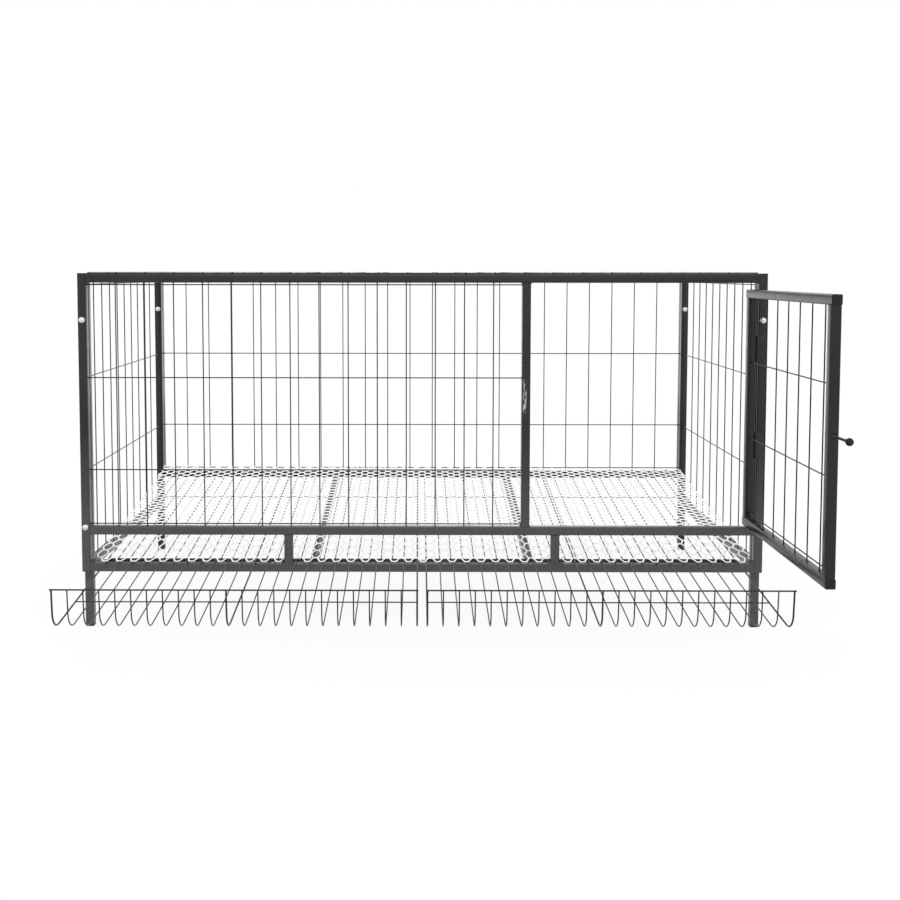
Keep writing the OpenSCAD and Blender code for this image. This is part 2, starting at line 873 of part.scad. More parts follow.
place() upper_door_leaf();
place() lower_door_leaf();
place() door_leaf_screws();
place() latch_bolt();
place() latch_knob();
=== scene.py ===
"""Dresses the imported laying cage: rolled tube, welds, floor net, fasteners, plastic ends and finishes.

Lengths are written in millimetres times MM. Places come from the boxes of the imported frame's own nodes.
"""
import json
import math

import bmesh
import bpy
from mathutils import Matrix, Vector, noise


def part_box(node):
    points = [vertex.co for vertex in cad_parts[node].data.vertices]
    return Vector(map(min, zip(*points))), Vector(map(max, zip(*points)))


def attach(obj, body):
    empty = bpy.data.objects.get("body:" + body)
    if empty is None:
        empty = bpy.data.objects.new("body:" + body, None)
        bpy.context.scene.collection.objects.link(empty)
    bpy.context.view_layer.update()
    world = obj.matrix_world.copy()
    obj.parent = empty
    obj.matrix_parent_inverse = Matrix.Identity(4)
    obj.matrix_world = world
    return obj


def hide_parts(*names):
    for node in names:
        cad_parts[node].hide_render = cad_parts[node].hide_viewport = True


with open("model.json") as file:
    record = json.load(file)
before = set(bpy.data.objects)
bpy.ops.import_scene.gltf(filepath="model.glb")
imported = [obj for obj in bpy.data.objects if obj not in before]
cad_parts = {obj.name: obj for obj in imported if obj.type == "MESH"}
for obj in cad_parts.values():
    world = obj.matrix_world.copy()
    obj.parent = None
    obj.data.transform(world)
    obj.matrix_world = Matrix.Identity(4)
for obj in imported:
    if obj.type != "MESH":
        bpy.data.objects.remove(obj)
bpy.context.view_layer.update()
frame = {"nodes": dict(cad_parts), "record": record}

MM = 0.001
X, Y, Z = range(3)

# Tube and wire
TUBE_W = 15 * MM
TUBE_WALL = 1.2 * MM
TUBE_CORNER = 2.2 * MM
WIRE_PITCH = 50.8 * MM
LEVEL_PITCH = 163 * MM
EDGE_WIRE_GAP = 3.5 * MM
EDGE_WIRE_MARGIN = 28 * MM
LEVEL_BEHIND = 1.6 * MM
SIDE_WIRE_SHIFT = 8.5 * MM
ROOF_END_GAP = 3 * MM
ROOF_CROSSING_RISE = 1.8 * MM
DOOR_LEVEL_STEPS = (110.5 * MM, 131 * MM)
DOOR_WIRES = 7

# Distances within which faces count as touching, and points of a turned shape or of the net as one
TOUCH = 0.2 * MM
TURNED_MERGE = 0.001 * MM
NET_MERGE = 0.5 * MM

# Welds
BEAD_LENGTH = 13 * MM
BEAD_R = 1.5 * MM
BEAD_RIPPLES = 6
BEAD_RIPPLE_POINTS = 4
BEAD_RIPPLE_SHARE = 0.13
BEAD_END_SWELL = 5
CROSSING_R = 1.55 * MM
CROSSING_THIN = 1.05 * MM
WIRE_END_R = 1.9 * MM
WIRE_END_THIN = 0.9 * MM

# The floor's slope, and the net's cells and strands, with the share of a column left free at each side
FLOOR_SLOPE = math.radians(6)
NET_SEAT = 2.8 * MM
NET_COLUMN = 12.8 * MM
NET_ROW = 36 * MM
NET_BAR = 7 * MM
NET_STRAND = 2.8 * MM
NET_SHIFT = 2.5 * MM
NET_SIDE_FREE = 0.7
# Behind an open run at the front, the net's rows are drawn closer by a ratio
NET_OPEN_RUN = 162 * MM
NET_CLOSER = 0.5
# A strand's upper half is scaled to a ridge, lower along the front edge, and its lower half is pressed flat
NET_RIDGE = 1.35
NET_FRONT_RIDGE = 0.8
NET_FRONT_RUN = 130 * MM
NET_UNDERSIDE = 0.15
# The net has faint waves all over, and its back edge curls up, more on the left
NET_WAVE = 0.7 * MM
NET_WAVE_SCALE = 14
NET_WAVE_SEED = 3.7
NET_CURL_RUN = 110 * MM
NET_CURL_RISE = 9.5 * MM
NET_CURL_LEAN = 0.009
NET_CURL_POWER = 1.2
# Room that the net leaves at the legs, behind the struts and beside them
NET_LEG_GAP = 2 * MM
NET_STRUT_GAP = 2.5 * MM
NET_STRUT_SIDE = 12 * MM

# Fasteners
BOLT_HEAD_R = 5.75 * MM
BOLT_HEAD_H = 4 * MM
BOLT_R = 3 * MM
BOLT_LENGTH = 34 * MM
BOLT_TOP_DROP = 80 * MM
BOLT_LOW_DROP = 2 * MM
NUT_R = 5.77 * MM
NUT_H = 3.2 * MM
NUT_CORNER = 0.55 * MM
NUT_EASE = 0.5 * MM
SCREW_HEAD_R = 2.5 * MM
SCREW_R = 1.5 * MM
LEAF_SCREW_HEAD_H = 0.6 * MM
LEAF_SCREW_LENGTH = 4 * MM
CLIP_SCREW_HEAD_H = 1.6 * MM
CLIP_SCREW_LENGTH = 6.2 * MM
CLIP_SCREW_BACK = 6 * MM
CLIP_T = 1.2 * MM
# A screw's ridges, tip and cross recess, as shares of its shank and head
RIDGES = 7
RIDGE_START = 0.25
RIDGE_RUN = 0.65
RIDGE_ROOT = 0.86
RIDGE_RISE = 0.04
TIP_R = 0.3
RECESS_W = 0.28
RECESS_ARM = 0.55
RECESS_DEPTH = 0.6
RECESS_RISE = 1.02
RECESS_TAPER = (0.55, 0.75, 1.0)
# How far fasteners are turned in their holes, in degrees, or for clip screws in degrees for each metre back
BOLT_TURN = 17
BOLT_TURN_STEP = 31
NUT_TURN_STEP = 12
POST_SCREW_TURN = 40
DOOR_SCREW_TURN = 25
CLIP_SCREW_TURN = 400

# Plastic ends
CAP_FLANGE = 1.5 * MM
CAP_EDGE = 0.7 * MM
FOOT_FLANGE = 3 * MM
FOOT_EDGE = 1.1 * MM
PLUG_EDGE = 0.6 * MM
PLUG_W = TUBE_W - 2 * TUBE_WALL - 0.9 * MM
PLUG_LENGTH = 10 * MM
PLUG_TAPER = (0.9, 0.9, 1.0)
RIB_W = PLUG_W + 0.7 * MM
RIB_H = 0.8 * MM
RIB_EDGE = 0.3 * MM
RIB_DEPTHS = (2.5 * MM, 5 * MM, 7.5 * MM)

# Hinges
HINGE_H = 44 * MM
HINGE_OUT = 3 * MM
BARREL_R = 2.9 * MM
BARREL_EASE = 0.3 * MM
KNUCKLE_GAP = 0.4 * MM
PIN_R = 1.5 * MM
PIN_PLAY = 0.1 * MM
PIN_TIP_IN = 0.3 * MM
PIN_TIP_UP = 0.4 * MM
PIN_HEAD = [(2.4 * MM, 0), (2.4 * MM, 0.5 * MM), (1.9 * MM, 1.0 * MM), (0, 1.2 * MM)]
LEAF_T = 1.8 * MM
LEAF_FROM = BARREL_R + 0.5 * MM
LEAF_REACH = 17 * MM
LEAF_CORNER = 2.5 * MM
LEAF_EDGE = 0.35 * MM
LEAF_SCREW_X = 10 * MM
LEAF_SCREW_Z = 14 * MM
WEB_TO = LEAF_FROM + 0.4 * MM

# Latch
LATCH_BOLT_R = 4 * MM
LATCH_NOSE = 1.2 * MM
LATCH_TAIL = 0.5 * MM
LATCH_TRAVEL = 7.5 * MM
GUIDE_R = 4.3 * MM
GUIDE_CUT = 60 * MM
KEEPER_R = 4.4 * MM
KEEPER_CUT = 10 * MM
STEM_R = 2 * MM
STEM_SUNK = 2.5 * MM
STEM_DROOP = math.radians(20)
SLOT_W = 5.6 * MM
SLOT_CORNER = 2.75 * MM
SLOT_INSIDE = 2 * MM
SLOT_OUTSIDE = 4 * MM
NECK_WALL = 0.6 * MM
NECK_FLARE = 0.9 * MM
NECK_RISE = 0.4 * MM
NECK_ANGLE = -55
PARTING_OUT = 0.08 * MM

# Painted reflection of the lit floor, and marks in the paint: where each starts and ends along an axis, and
# the run over which it fades
# Paler paint low down and in front on the frame: a painted reflection of the lit floor
PAINTED_REFLECTION_UP = (0, 175 * MM, 170 * MM)
PAINTED_REFLECTION_DEEP = (-1000 * MM, 50 * MM, 170 * MM)
SCUFF_ACROSS = (176.5 * MM, 180.5 * MM, 1.8 * MM)
SCUFF_UP = (394 * MM, 436 * MM, 10 * MM)
CHIP_ACROSS = (176.8 * MM, 179 * MM, 0.6 * MM)
CHIP_UP = (394 * MM, 400 * MM, 2.5 * MM)
# How far in from an edge the finish is rubbed
TUBE_RUB = 1.4 * MM
PLASTIC_RUB = 0.8 * MM

# Studio, in metres, watts and shares of white
FLOOR_HALF = 40.0
FLOOR_PAPER = (0.94, 0.94, 0.94, 1.0)
FLOOR_GLOW = {"From Min": 0.9, "From Max": 2.4, "To Min": 0.86, "To Max": 1.0}
WHITE = (1.0, 1.0, 1.0, 1.0)
WORLD_LIGHT = 0.85
WORLD_SEEN = 1.0
LAMPS_FACE = Vector((0, 0.1, 0.3))
LAMPS = {
    "overhead_box": {"at": (0.0, -0.2, 2.6), "size": 2.6, "power": 9.0},
    "left_box": {"at": (-2.4, -1.5, 1.5), "size": 1.6, "power": 14.0},
    "right_box": {"at": (2.4, -1.5, 1.5), "size": 1.6, "power": 12.0},
    "back_box": {"at": (0.0, 2.4, 0.95), "size": 1.8, "power": 7.0},
    "front_box": {"at": (0.0, -3.0, 2.3), "size": 2.4, "power": 26.0},
}

# Camera, as fitted to the photograph, with its angles in degrees
LENS = 43.349
SENSOR_W = 36.0
SHIFT_X = 0.03977
SHIFT_Y = -0.12499
CAMERA_AT = (-7.03 * MM, -1980.1 * MM, 633.3 * MM)
CAMERA_PAN = 0.226
CAMERA_DOWN = 3.506
CAMERA_ROLL = 0.039


def corners(node):
    """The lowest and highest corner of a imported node."""
    low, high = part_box(node)
    return Vector(low), Vector(high)


def middle(node):
    """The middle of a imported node's box."""
    low, high = corners(node)
    return (low + high) / 2


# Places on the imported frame

INNER_LEFT = corners("front_left_post")[1].x
INNER_RIGHT = corners("front_right_post")[0].x
TOP_UNDER = corners("front_top_rail")[0].z
MID_TOP = corners("front_mid_rail")[1].z
BACK_TOP = corners("back_bottom_rail")[1].z
FRONT_PLANE = middle("front_mid_rail").y
BACK_PLANE = middle("back_bottom_rail").y
LEG_FRONT = corners("left_front_leg")[1].y
LEG_BACK = corners("left_back_leg")[0].y
FLOOR_FRONT = corners("front_bottom_rail")[0].y
FLOOR_TOP = corners("front_bottom_rail")[1].z
LATCH_LOW, LATCH_HIGH = corners("latch_bolt")
KNOB_LOW, KNOB_HIGH = corners("latch_knob")
KNOB_AT = middle("latch_knob")
KNOB_R = (KNOB_HIGH.z - KNOB_LOW.z) / 2
LATCH_AT = Vector((LATCH_LOW.x + LATCH_BOLT_R, KNOB_AT.y, LATCH_HIGH.z - LATCH_BOLT_R))


def floor_height(y):
    """Height of the floor's sloping plane."""
    return FLOOR_TOP + math.tan(FLOOR_SLOPE) * (y - FLOOR_FRONT)


def spread(low, high, pitch):
    """Wire places that keep the pitch and sit in the middle between two faces."""
    count = math.floor((high - low - 2 * EDGE_WIRE_MARGIN) / pitch) + 1
    first = (low + high - (count - 1) * pitch) / 2
    return [first + pitch * place for place in range(count)]


def level_heights(low):
    """Heights of the level wires, from the top edge down while they stay clear of the bottom edge."""
    heights = [TOP_UNDER - EDGE_WIRE_GAP]
    while heights[-1] - LEVEL_PITCH > low + LEVEL_PITCH / 3:
        heights.append(heights[-1] - LEVEL_PITCH)
    return heights


# Finishes


class Finish:
    """A procedural material built up node by node round one Principled shader."""

    def __init__(self, name):
        self.material = bpy.data.materials.new(name)
        self.material.use_nodes = True
        self.tree = self.material.node_tree
        self.shader = self.tree.nodes["Principled BSDF"]
        self.place = self.node("ShaderNodeTexCoord").outputs["Object"]

    def node(self, kind, inputs=None, **settings):
        """A new node, with inputs by name or number, each a value or another node's socket."""
        made = self.tree.nodes.new(kind)
        for key, value in settings.items():
            setattr(made, key, value)
        for key, value in (inputs or {}).items():
            self.feed(made.inputs[key], value)
        return made

    def feed(self, socket, value):
        if isinstance(value, bpy.types.NodeSocket):
            self.tree.links.new(value, socket)
        else:
            socket.default_value = value

    def set(self, **inputs):
        """Sets the shader's own sockets, with underscores for spaces."""
        for key, value in inputs.items():
            self.feed(self.shader.inputs[key.replace("_", " ")], value)

    def clouds(self, scale, detail, place=None):
        """Soft noise between none and full."""
        inputs = {"Vector": place or self.place, "Scale": scale, "Detail": detail}
        return self.node("ShaderNodeTexNoise", inputs).outputs["Fac"]

    def grade(self, value, low, high, to_low=0.0, to_high=1.0):
        """Maps one range to another, and holds the value at both ends."""
        inputs = {"Value": value, "From Min": low, "From Max": high, "To Min": to_low, "To Max": to_high}
        return self.node("ShaderNodeMapRange", inputs).outputs["Result"]

    def times(self, a, b):
        return self.node("ShaderNodeMath", {0: a, 1: b}, operation="MULTIPLY").outputs[0]

    def plus(self, a, b):
        """A sum that is held between none and full."""
        return self.node("ShaderNodeMath", {0: a, 1: b}, operation="ADD", use_clamp=True).outputs[0]

    def blend(self, amount, under, over):
        """A colour that goes from one to the other."""
        return self.node("ShaderNodeMix", {0: amount, 6: under, 7: over}, data_type="RGBA").outputs[2]

    def relief(self, height, strength, depth):
        inputs = {"Height": height, "Strength": strength, "Distance": depth}
        return self.node("ShaderNodeBump", inputs).outputs["Normal"]

    def rubbed_edges(self, radius):
        """How far a point is on an outer edge, from none to full."""
        soft = self.node("ShaderNodeBevel", {"Radius": radius}, samples=4).outputs["Normal"]
        true = self.node("ShaderNodeNewGeometry").outputs["Normal"]
        facing = self.node("ShaderNodeVectorMath", {0: soft, 1: true}, operation="DOT_PRODUCT")
        return self.grade(facing.outputs["Value"], 0.98, 0.80)

    def window(self, axis, low, high, fade):
        """One between two places along an axis, fading to none past them."""
        at = self.node("ShaderNodeSeparateXYZ", {"Vector": self.place}).outputs[axis]
        return self.times(self.grade(at, low - fade, low), self.grade(at, high + fade, high))

    def settled_dust(self):
        """More on faces that look up."""
        normal = self.node("ShaderNodeNewGeometry").outputs["Normal"]
        up = self.node("ShaderNodeSeparateXYZ", {"Vector": normal}).outputs["Z"]
        return self.times(self.grade(up, 0.5, 1.0), self.grade(self.clouds(26.0, 5.0), 0.42, 0.72))


def grey(value, tint=0.0):
    """A near-neutral colour; a positive tint is cooler."""
    return (value * (1 - tint), value, value * (1 + tint), 1.0)


def powder_coat(name, dark, light, peel, worn=None, painted_reflection=None, scuffed=False, gloss=0.34):
    """Satin powder coat: orange peel, uneven shade, dust, and if asked worn edges, a painted reflection or
    a scuff.
    """
    coat = Finish(name)
    shade = coat.grade(coat.clouds(11.0, 4.0), 0.3, 0.7)
    fleck = coat.grade(coat.clouds(1600.0, 1.0), 0.58, 0.74, 0.0, 0.35)
    base = coat.blend(coat.plus(coat.times(shade, 0.65), fleck), grey(dark, 0.02), grey(light, 0.02))
    # Painted reflection: paler paint low down and in front, where the lit floor would show in the tubes
    if painted_reflection:
        painted_reflection_zone = coat.times(coat.window("Z", *PAINTED_REFLECTION_UP), coat.window("Y", *PAINTED_REFLECTION_DEEP))
        uneven = coat.grade(coat.clouds(24.0, 4.0), 0.3, 0.7, 0.85, 1.0)
        base = coat.blend(coat.times(painted_reflection_zone, uneven), base, grey(painted_reflection, 0.01))
    dust = coat.times(coat.settled_dust(), 0.22)
    base = coat.blend(dust, base, (0.20, 0.195, 0.185, 1.0))
    if worn:
        patchy = coat.grade(coat.clouds(48.0, 4.0), 0.45, 0.62, 0.05, 0.35)
        rubbed = coat.times(coat.rubbed_edges(TUBE_RUB), patchy)
        base = coat.blend(rubbed, base, grey(worn, 0.02))
    if scuffed:
        patch = coat.times(coat.window("X", *SCUFF_ACROSS), coat.window("Z", *SCUFF_UP))
        drawn = coat.node("ShaderNodeMapping", {"Vector": coat.place, "Scale": (1.0, 1.0, 0.16)})
        streak = coat.grade(coat.clouds(330.0, 3.0, drawn.outputs["Vector"]), 0.46, 0.60)
        chip = coat.times(coat.window("X", *CHIP_ACROSS), coat.window("Z", *CHIP_UP))
        base = coat.blend(coat.plus(coat.times(patch, streak), chip), base, (0.42, 0.42, 0.41, 1.0))
    dimple = coat.relief(coat.clouds(peel, 2.0), 0.22, 0.12 * MM)
    roughness = coat.plus(coat.grade(coat.clouds(70.0, 3.0), 0.3, 0.7, 0.20, 0.29), coat.times(dust, 0.8))
    coat.set(Base_Color=base, Roughness=roughness, Normal=dimple, Specular_IOR_Level=gloss)
    return coat.material


def bright_zinc():
    """Bright zinc plate: grey metal with faint warm and blue patches and fine scratches."""
    plate = Finish("bright_zinc_plate")
    patch = plate.grade(plate.clouds(180.0, 3.0), 0.35, 0.65)
    base = plate.blend(patch, (0.66, 0.68, 0.70, 1.0), (0.76, 0.75, 0.71, 1.0))
    dull = plate.grade(plate.clouds(420.0, 4.0), 0.55, 0.8, 0.0, 0.5)
    base = plate.blend(dull, base, (0.42, 0.42, 0.43, 1.0))
    drawn = plate.node("ShaderNodeMapping", {"Vector": plate.place, "Scale": (1.0, 1.0, 9.0)})
    scratches = plate.clouds(900.0, 3.0, drawn.outputs["Vector"])
    roughness = plate.grade(plate.clouds(260.0, 3.0), 0.3, 0.7, 0.20, 0.38)
    plate.set(Base_Color=base, Metallic=1.0, Roughness=roughness)
    plate.set(Normal=plate.relief(scratches, 0.18, 0.05 * MM))
    return plate.material


def moulded_plastic():
    """Black moulded plastic with a fine spark-eroded grain and rubbed edges."""
    plastic = Finish("black_moulded_plastic")
    shade = plastic.grade(plastic.clouds(90.0, 3.0), 0.3, 0.7)
    base = plastic.blend(shade, grey(0.008), grey(0.017))
    patchy = plastic.grade(plastic.clouds(220.0, 3.0), 0.5, 0.65, 0.0, 0.5)
    rubbed = plastic.times(plastic.rubbed_edges(PLASTIC_RUB), patchy)
    base = plastic.blend(rubbed, base, grey(0.06))
    grain = plastic.relief(plastic.clouds(2600.0, 2.0), 0.25, 0.06 * MM)
    roughness = plastic.grade(plastic.clouds(300.0, 2.0), 0.3, 0.7, 0.40, 0.55)
    plastic.set(Base_Color=base, Roughness=roughness, Normal=grain, Specular_IOR_Level=0.15)
    return plastic.material


def net_plastic():
    """White extruded net: a little uneven, with drawn streaks and faint grey handling marks."""
    plastic = Finish("white_net_plastic")
    shade = plastic.grade(plastic.clouds(40.0, 4.0), 0.3, 0.7)
    base = plastic.blend(shade, (0.94, 0.94, 0.93, 1.0), (0.97, 0.97, 0.965, 1.0))
    marks = plastic.grade(plastic.clouds(16.0, 6.0), 0.62, 0.82, 0.0, 0.18)
    base = plastic.blend(marks, base, (0.70, 0.69, 0.66, 1.0))
    streaks = plastic.relief(plastic.clouds(480.0, 3.0), 0.3, 0.15 * MM)
    roughness = plastic.grade(plastic.clouds(120.0, 3.0), 0.3, 0.7, 0.34, 0.5)
    plastic.set(Base_Color=base, Roughness=roughness, Normal=streaks)
    return plastic.material


TUBE_PEEL = 760.0
WIRE_PEEL = 1100.0
# The frame's coat carries a pale painted reflection of the floor, low down in front
FRAME_COAT = {"dark": 0.009, "light": 0.017, "peel": TUBE_PEEL, "worn": 0.09, "painted_reflection": 0.058}
FINISHES = {
    "frame_paint": powder_coat("frame_powder_coat", **FRAME_COAT),
    "wire_paint": powder_coat("wire_powder_coat", dark=0.012, light=0.021, peel=WIRE_PEEL, gloss=0.20),
    "zinc": bright_zinc(),
    "black_plastic": moulded_plastic(),
    "net_plastic": net_plastic(),
}
SCUFFED_COAT = powder_coat("scuffed_powder_coat", **FRAME_COAT, scuffed=True)
# The door's coats are darker copies of the frame's and the wires' coats: painted shade on the door
DOOR_SHADED_COAT = powder_coat("door_shaded_powder_coat", dark=0.005, light=0.010, peel=TUBE_PEEL, worn=0.07)
DOOR_WIRE_SHADED_COAT = powder_coat("door_wire_shaded_powder_coat", dark=0.004, light=0.008, peel=WIRE_PEEL, gloss=0.07)


def finish_packed_nodes():
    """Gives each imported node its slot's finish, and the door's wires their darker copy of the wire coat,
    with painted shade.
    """
    for subpart in frame["record"]["subparts"]:
        node, slot = subpart["node"], subpart["material_slot"]
        materials = frame["nodes"][node].data.materials
        materials.clear()
        materials.append(DOOR_WIRE_SHADED_COAT if node == "door_wire_panel" else FINISHES[slot])


finish_packed_nodes()


# Shaping


def turned(profile, steps):
    """A closed turned shape about Z, from pairs of a radius and a height."""
    shape = bmesh.new()
    line = [shape.verts.new((radius, 0, height)) for radius, height in profile]
    edges = [shape.edges.new(pair) for pair in zip(line, line[1:])]
    bmesh.ops.spin(shape, geom=line + edges, cent=(0, 0, 0), axis=(0, 0, 1), angle=math.tau, steps=steps,
                   use_merge=True)
    bmesh.ops.remove_doubles(shape, verts=shape.verts, dist=TURNED_MERGE)
    bmesh.ops.recalc_face_normals(shape, faces=shape.faces)
    return shape


def arc(centre_r, centre_z, radius, start, end, steps):
    """Pairs of a radius and a height along an arc, with angles in degrees from outward to up."""
    angles = [math.radians(start + (end - start) * step / steps) for step in range(steps + 1)]
    return [(centre_r + radius * math.cos(a), centre_z + radius * math.sin(a)) for a in angles]


def block(size, at=(0, 0, 0)):
    """A rectangular block round a point."""
    shape = bmesh.new()
    bmesh.ops.create_cube(shape, size=1.0)
    bmesh.ops.scale(shape, vec=size, verts=shape.verts)
    bmesh.ops.translate(shape, vec=at, verts=shape.verts)
    return shape


def round_edges(shape, edges, radius, segments):
    bmesh.ops.bevel(shape, geom=edges, offset=radius, offset_type="OFFSET", segments=segments, profile=0.5,
                    affect="EDGES", material=-1, clamp_overlap=True)


def edges_along(shape, axis):
    """The straight edges that run along one axis."""
    found = []
    for edge in shape.edges:
        run = edge.verts[1].co - edge.verts[0].co
        if abs(run[axis]) > 0.99 * run.length:
            found.append(edge)
    return found


def stamp(target, shape, matrix):
    """Adds a moved copy of one bmesh to another."""
    copy = bpy.data.meshes.new("stamp")
    shape.to_mesh(copy)
    copy.transform(matrix)
    target.from_mesh(copy)
    bpy.data.meshes.remove(copy)


def cut_from(shape, cutter):
    """What is left of one closed shape when another is cut out of it."""
    solids = []
    for part in (shape, cutter):
        mesh = bpy.data.meshes.new("cut")
        part.to_mesh(mesh)
        part.free()
        solid = bpy.data.objects.new("cut", mesh)
        bpy.context.scene.collection.objects.link(solid)
        solids.append(solid)
    tool = solids[0].modifiers.new("cut", "BOOLEAN")
    tool.operation = "DIFFERENCE"
    tool.solver = "EXACT"
    tool.object = solids[1]
    left = bmesh.new()
    left.from_object(solids[0], bpy.context.evaluated_depsgraph_get())
    for solid in solids:
        bpy.data.meshes.remove(solid.data)
    return left


def move(*offset):
    return Matrix.Translation(Vector(offset))


def turn(degrees, axis):
    return Matrix.Rotation(math.radians(degrees), 4, axis)


def stretch(x, y, z):
    return Matrix.Diagonal((x, y, z, 1.0))


def aim(axis, run):
    """The turn that points an axis along a run."""
    return run.to_track_quat(axis, "Y").to_matrix().to_4x4()


def make_piece(name, shape, body, slot, replaced=(), crease=35, coat=None):
    """Makes a finished shape a piece of the object, with smooth shading up to a crease angle."""
    mesh = bpy.data.meshes.new(name)
    shape.to_mesh(mesh)
    shape.free()
    mesh.shade_smooth()
    mesh.set_sharp_from_angle(angle=math.radians(crease))
    mesh.materials.append(coat or FINISHES[slot])
    piece = bpy.data.objects.new(name, mesh)
    bpy.context.scene.collection.objects.link(piece)
    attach(piece, body)
    if replaced:
        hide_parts(*replaced)
    return piece


# Square tube

LEVEL_TUBES = {
    "cage": [
        "front_left_post", "front_right_post", "front_centre_post", "front_top_rail", "front_mid_rail",
        "front_bottom_rail", "egg_gap_strut_left", "egg_gap_strut_right",
        "back_left_post", "back_right_post", "back_top_rail", "back_bottom_rail",
        "left_front_leg", "left_back_leg", "left_top_rail",
        "right_front_leg", "right_back_leg", "right_top_rail",
        "left_bottom_rail", "right_bottom_rail", "front_floor_rail",
    ],
    "door": ["door_hinge_stile", "door_latch_stile", "door_top_rail", "door_bottom_rail"],
}
SLOPING_TUBES = ["floor_bar_left", "floor_bar_right"]
SLOPING_TALL = TUBE_W / math.cos(FLOOR_SLOPE)
ALONG = {X: turn(90, "Y"), Y: turn(-90, "X"), Z: Matrix.Identity(4)}


def square_tube(length):
    """A square tube from the origin up, with rolled corners and open ends."""
    shape = block((TUBE_W, TUBE_W, length), (0, 0, length / 2))
    ends = [face for face in shape.faces if abs(face.normal.z) > 0.5]
    bmesh.ops.delete(shape, geom=ends, context="FACES_ONLY")
    round_edges(shape, edges_along(shape, Z), TUBE_CORNER, 4)
    bmesh.ops.solidify(shape, geom=shape.faces[:], thickness=TUBE_WALL)
    return shape


def placed_tube(node):
    """A square tube in the place of a packed one that runs along an axis."""
    low, high = corners(node)
    size = high - low
    along = max(range(3), key=lambda axis: size[axis])
    start = (low + high) / 2
    start[along] = low[along]
    shape = square_tube(size[along])
    shape.transform(Matrix.Translation(start) @ ALONG[along])
    return shape


def placed_sloping_tube(node):
    """A square tube in the place of a packed one that runs up the floor's slope, with upright ends."""
    low, high = corners(node)
    shape = square_tube(high.y - low.y)
    climb = Matrix.Identity(4)
    climb[Z][Y] = math.tan(FLOOR_SLOPE)
    start = move((low.x + high.x) / 2, low.y, low.z + SLOPING_TALL / 2)
    shape.transform(start @ climb @ stretch(1, 1, SLOPING_TALL / TUBE_W) @ ALONG[Y])
    return shape


def latch_bore(at, along, radius, length):
    """A round cutter through a point, along an axis."""
    shape = turned([(0, -length / 2), (radius, -length / 2), (radius, length / 2), (0, length / 2)], 32)
    shape.transform(Matrix.Translation(at) @ ALONG[along])
    return shape


def stem_slot():
    """The cutter for the slot that the knob's stem slides in, in the face of the latch stile."""
    face_x = corners("door_latch_stile")[1].x
    drop = (TUBE_W - TUBE_WALL) / 2 * math.tan(STEM_DROOP)
    shape = block((SLOT_INSIDE + SLOT_OUTSIDE, SLOT_W + LATCH_TRAVEL, SLOT_W))
    round_edges(shape, edges_along(shape, X), SLOT_CORNER, 5)
    centre_x = face_x + (SLOT_OUTSIDE - SLOT_INSIDE) / 2
    shape.transform(move(centre_x, LATCH_AT.y - LATCH_TRAVEL / 2, LATCH_AT.z - drop))
    return shape


def build_tubes():
    for body, nodes in LEVEL_TUBES.items():
        for node in nodes:
            shape = placed_tube(node)
            # The door's tubes take the darker copy of the frame coat: painted shade
            coat = DOOR_SHADED_COAT if body == "door" else None
            if node == "door_latch_stile":
                shape = cut_from(shape, latch_bore(LATCH_AT, Y, GUIDE_R, GUIDE_CUT))
                shape = cut_from(shape, stem_slot())
            if node == "front_centre_post":
                keeper = Vector((corners(node)[1].x, middle(node).y, LATCH_AT.z))
                shape = cut_from(shape, latch_bore(keeper, X, KEEPER_R, KEEPER_CUT))
                coat = SCUFFED_COAT
            make_piece(node + "_tube", shape, body, "frame_paint", [node], coat=coat)
    for node in SLOPING_TUBES:
        make_piece(node + "_tube", placed_sloping_tube(node), "cage", "frame_paint", [node])


build_tubes()


# Weld beads where tube ends on tube: a tube, the two tubes that it ends on, and the axis of the seams

CAGE_JOINTS = [
    ("front_top_rail", ("front_left_post", "front_right_post"), Y),
    ("front_mid_rail", ("front_left_post", "front_right_post"), Y),
    ("front_bottom_rail", ("front_left_post", "front_right_post"), Y),
    ("front_centre_post", ("front_top_rail", "front_mid_rail"), Y),
    ("egg_gap_strut_left", ("front_mid_rail", "front_bottom_rail"), Y),
    ("egg_gap_strut_right", ("front_mid_rail", "front_bottom_rail"), Y),
    ("back_top_rail", ("back_left_post", "back_right_post"), Y),
    ("back_bottom_rail", ("back_left_post", "back_right_post"), Y),
    ("left_top_rail", ("left_front_leg", "left_back_leg"), X),
    ("right_top_rail", ("right_front_leg", "right_back_leg"), X),
    ("left_bottom_rail", ("left_front_leg", "left_back_leg"), X),
    ("right_bottom_rail", ("right_front_leg", "right_back_leg"), X),
    ("front_floor_rail", ("left_front_leg", "right_front_leg"), Y),
    ("floor_bar_left", ("front_floor_rail", "back_bottom_rail"), Z),
    ("floor_bar_right", ("front_floor_rail", "back_bottom_rail"), Z),
]
DOOR_JOINTS = [
    ("door_hinge_stile", ("door_top_rail", "door_bottom_rail"), X),
    ("door_latch_stile", ("door_top_rail", "door_bottom_rail"), X),
]


def bead_shape():
    """A rippled bead along Z round the origin."""
    points = BEAD_RIPPLES * BEAD_RIPPLE_POINTS
    profile = [(0, -BEAD_LENGTH / 2)]
    for point in range(1, points):
        share = point / points
        swell = min(1.0, BEAD_END_SWELL * share, BEAD_END_SWELL * (1 - share))
        ripple = 1 + BEAD_RIPPLE_SHARE * math.sin(math.tau * share * BEAD_RIPPLES)
        profile.append((BEAD_R * ripple * math.sqrt(swell), BEAD_LENGTH * (share - 0.5)))
    profile.append((0, BEAD_LENGTH / 2))
    return turned(profile, 10)


def lay_bead(target, bead, start, end):
    """Adds a bead that is stretched to run from one point to another."""
    run = end - start
    centre = Matrix.Translation((start + end) / 2)
    stamp(target, bead, centre @ aim("Z", run) @ stretch(1, 1, run.length / BEAD_LENGTH))


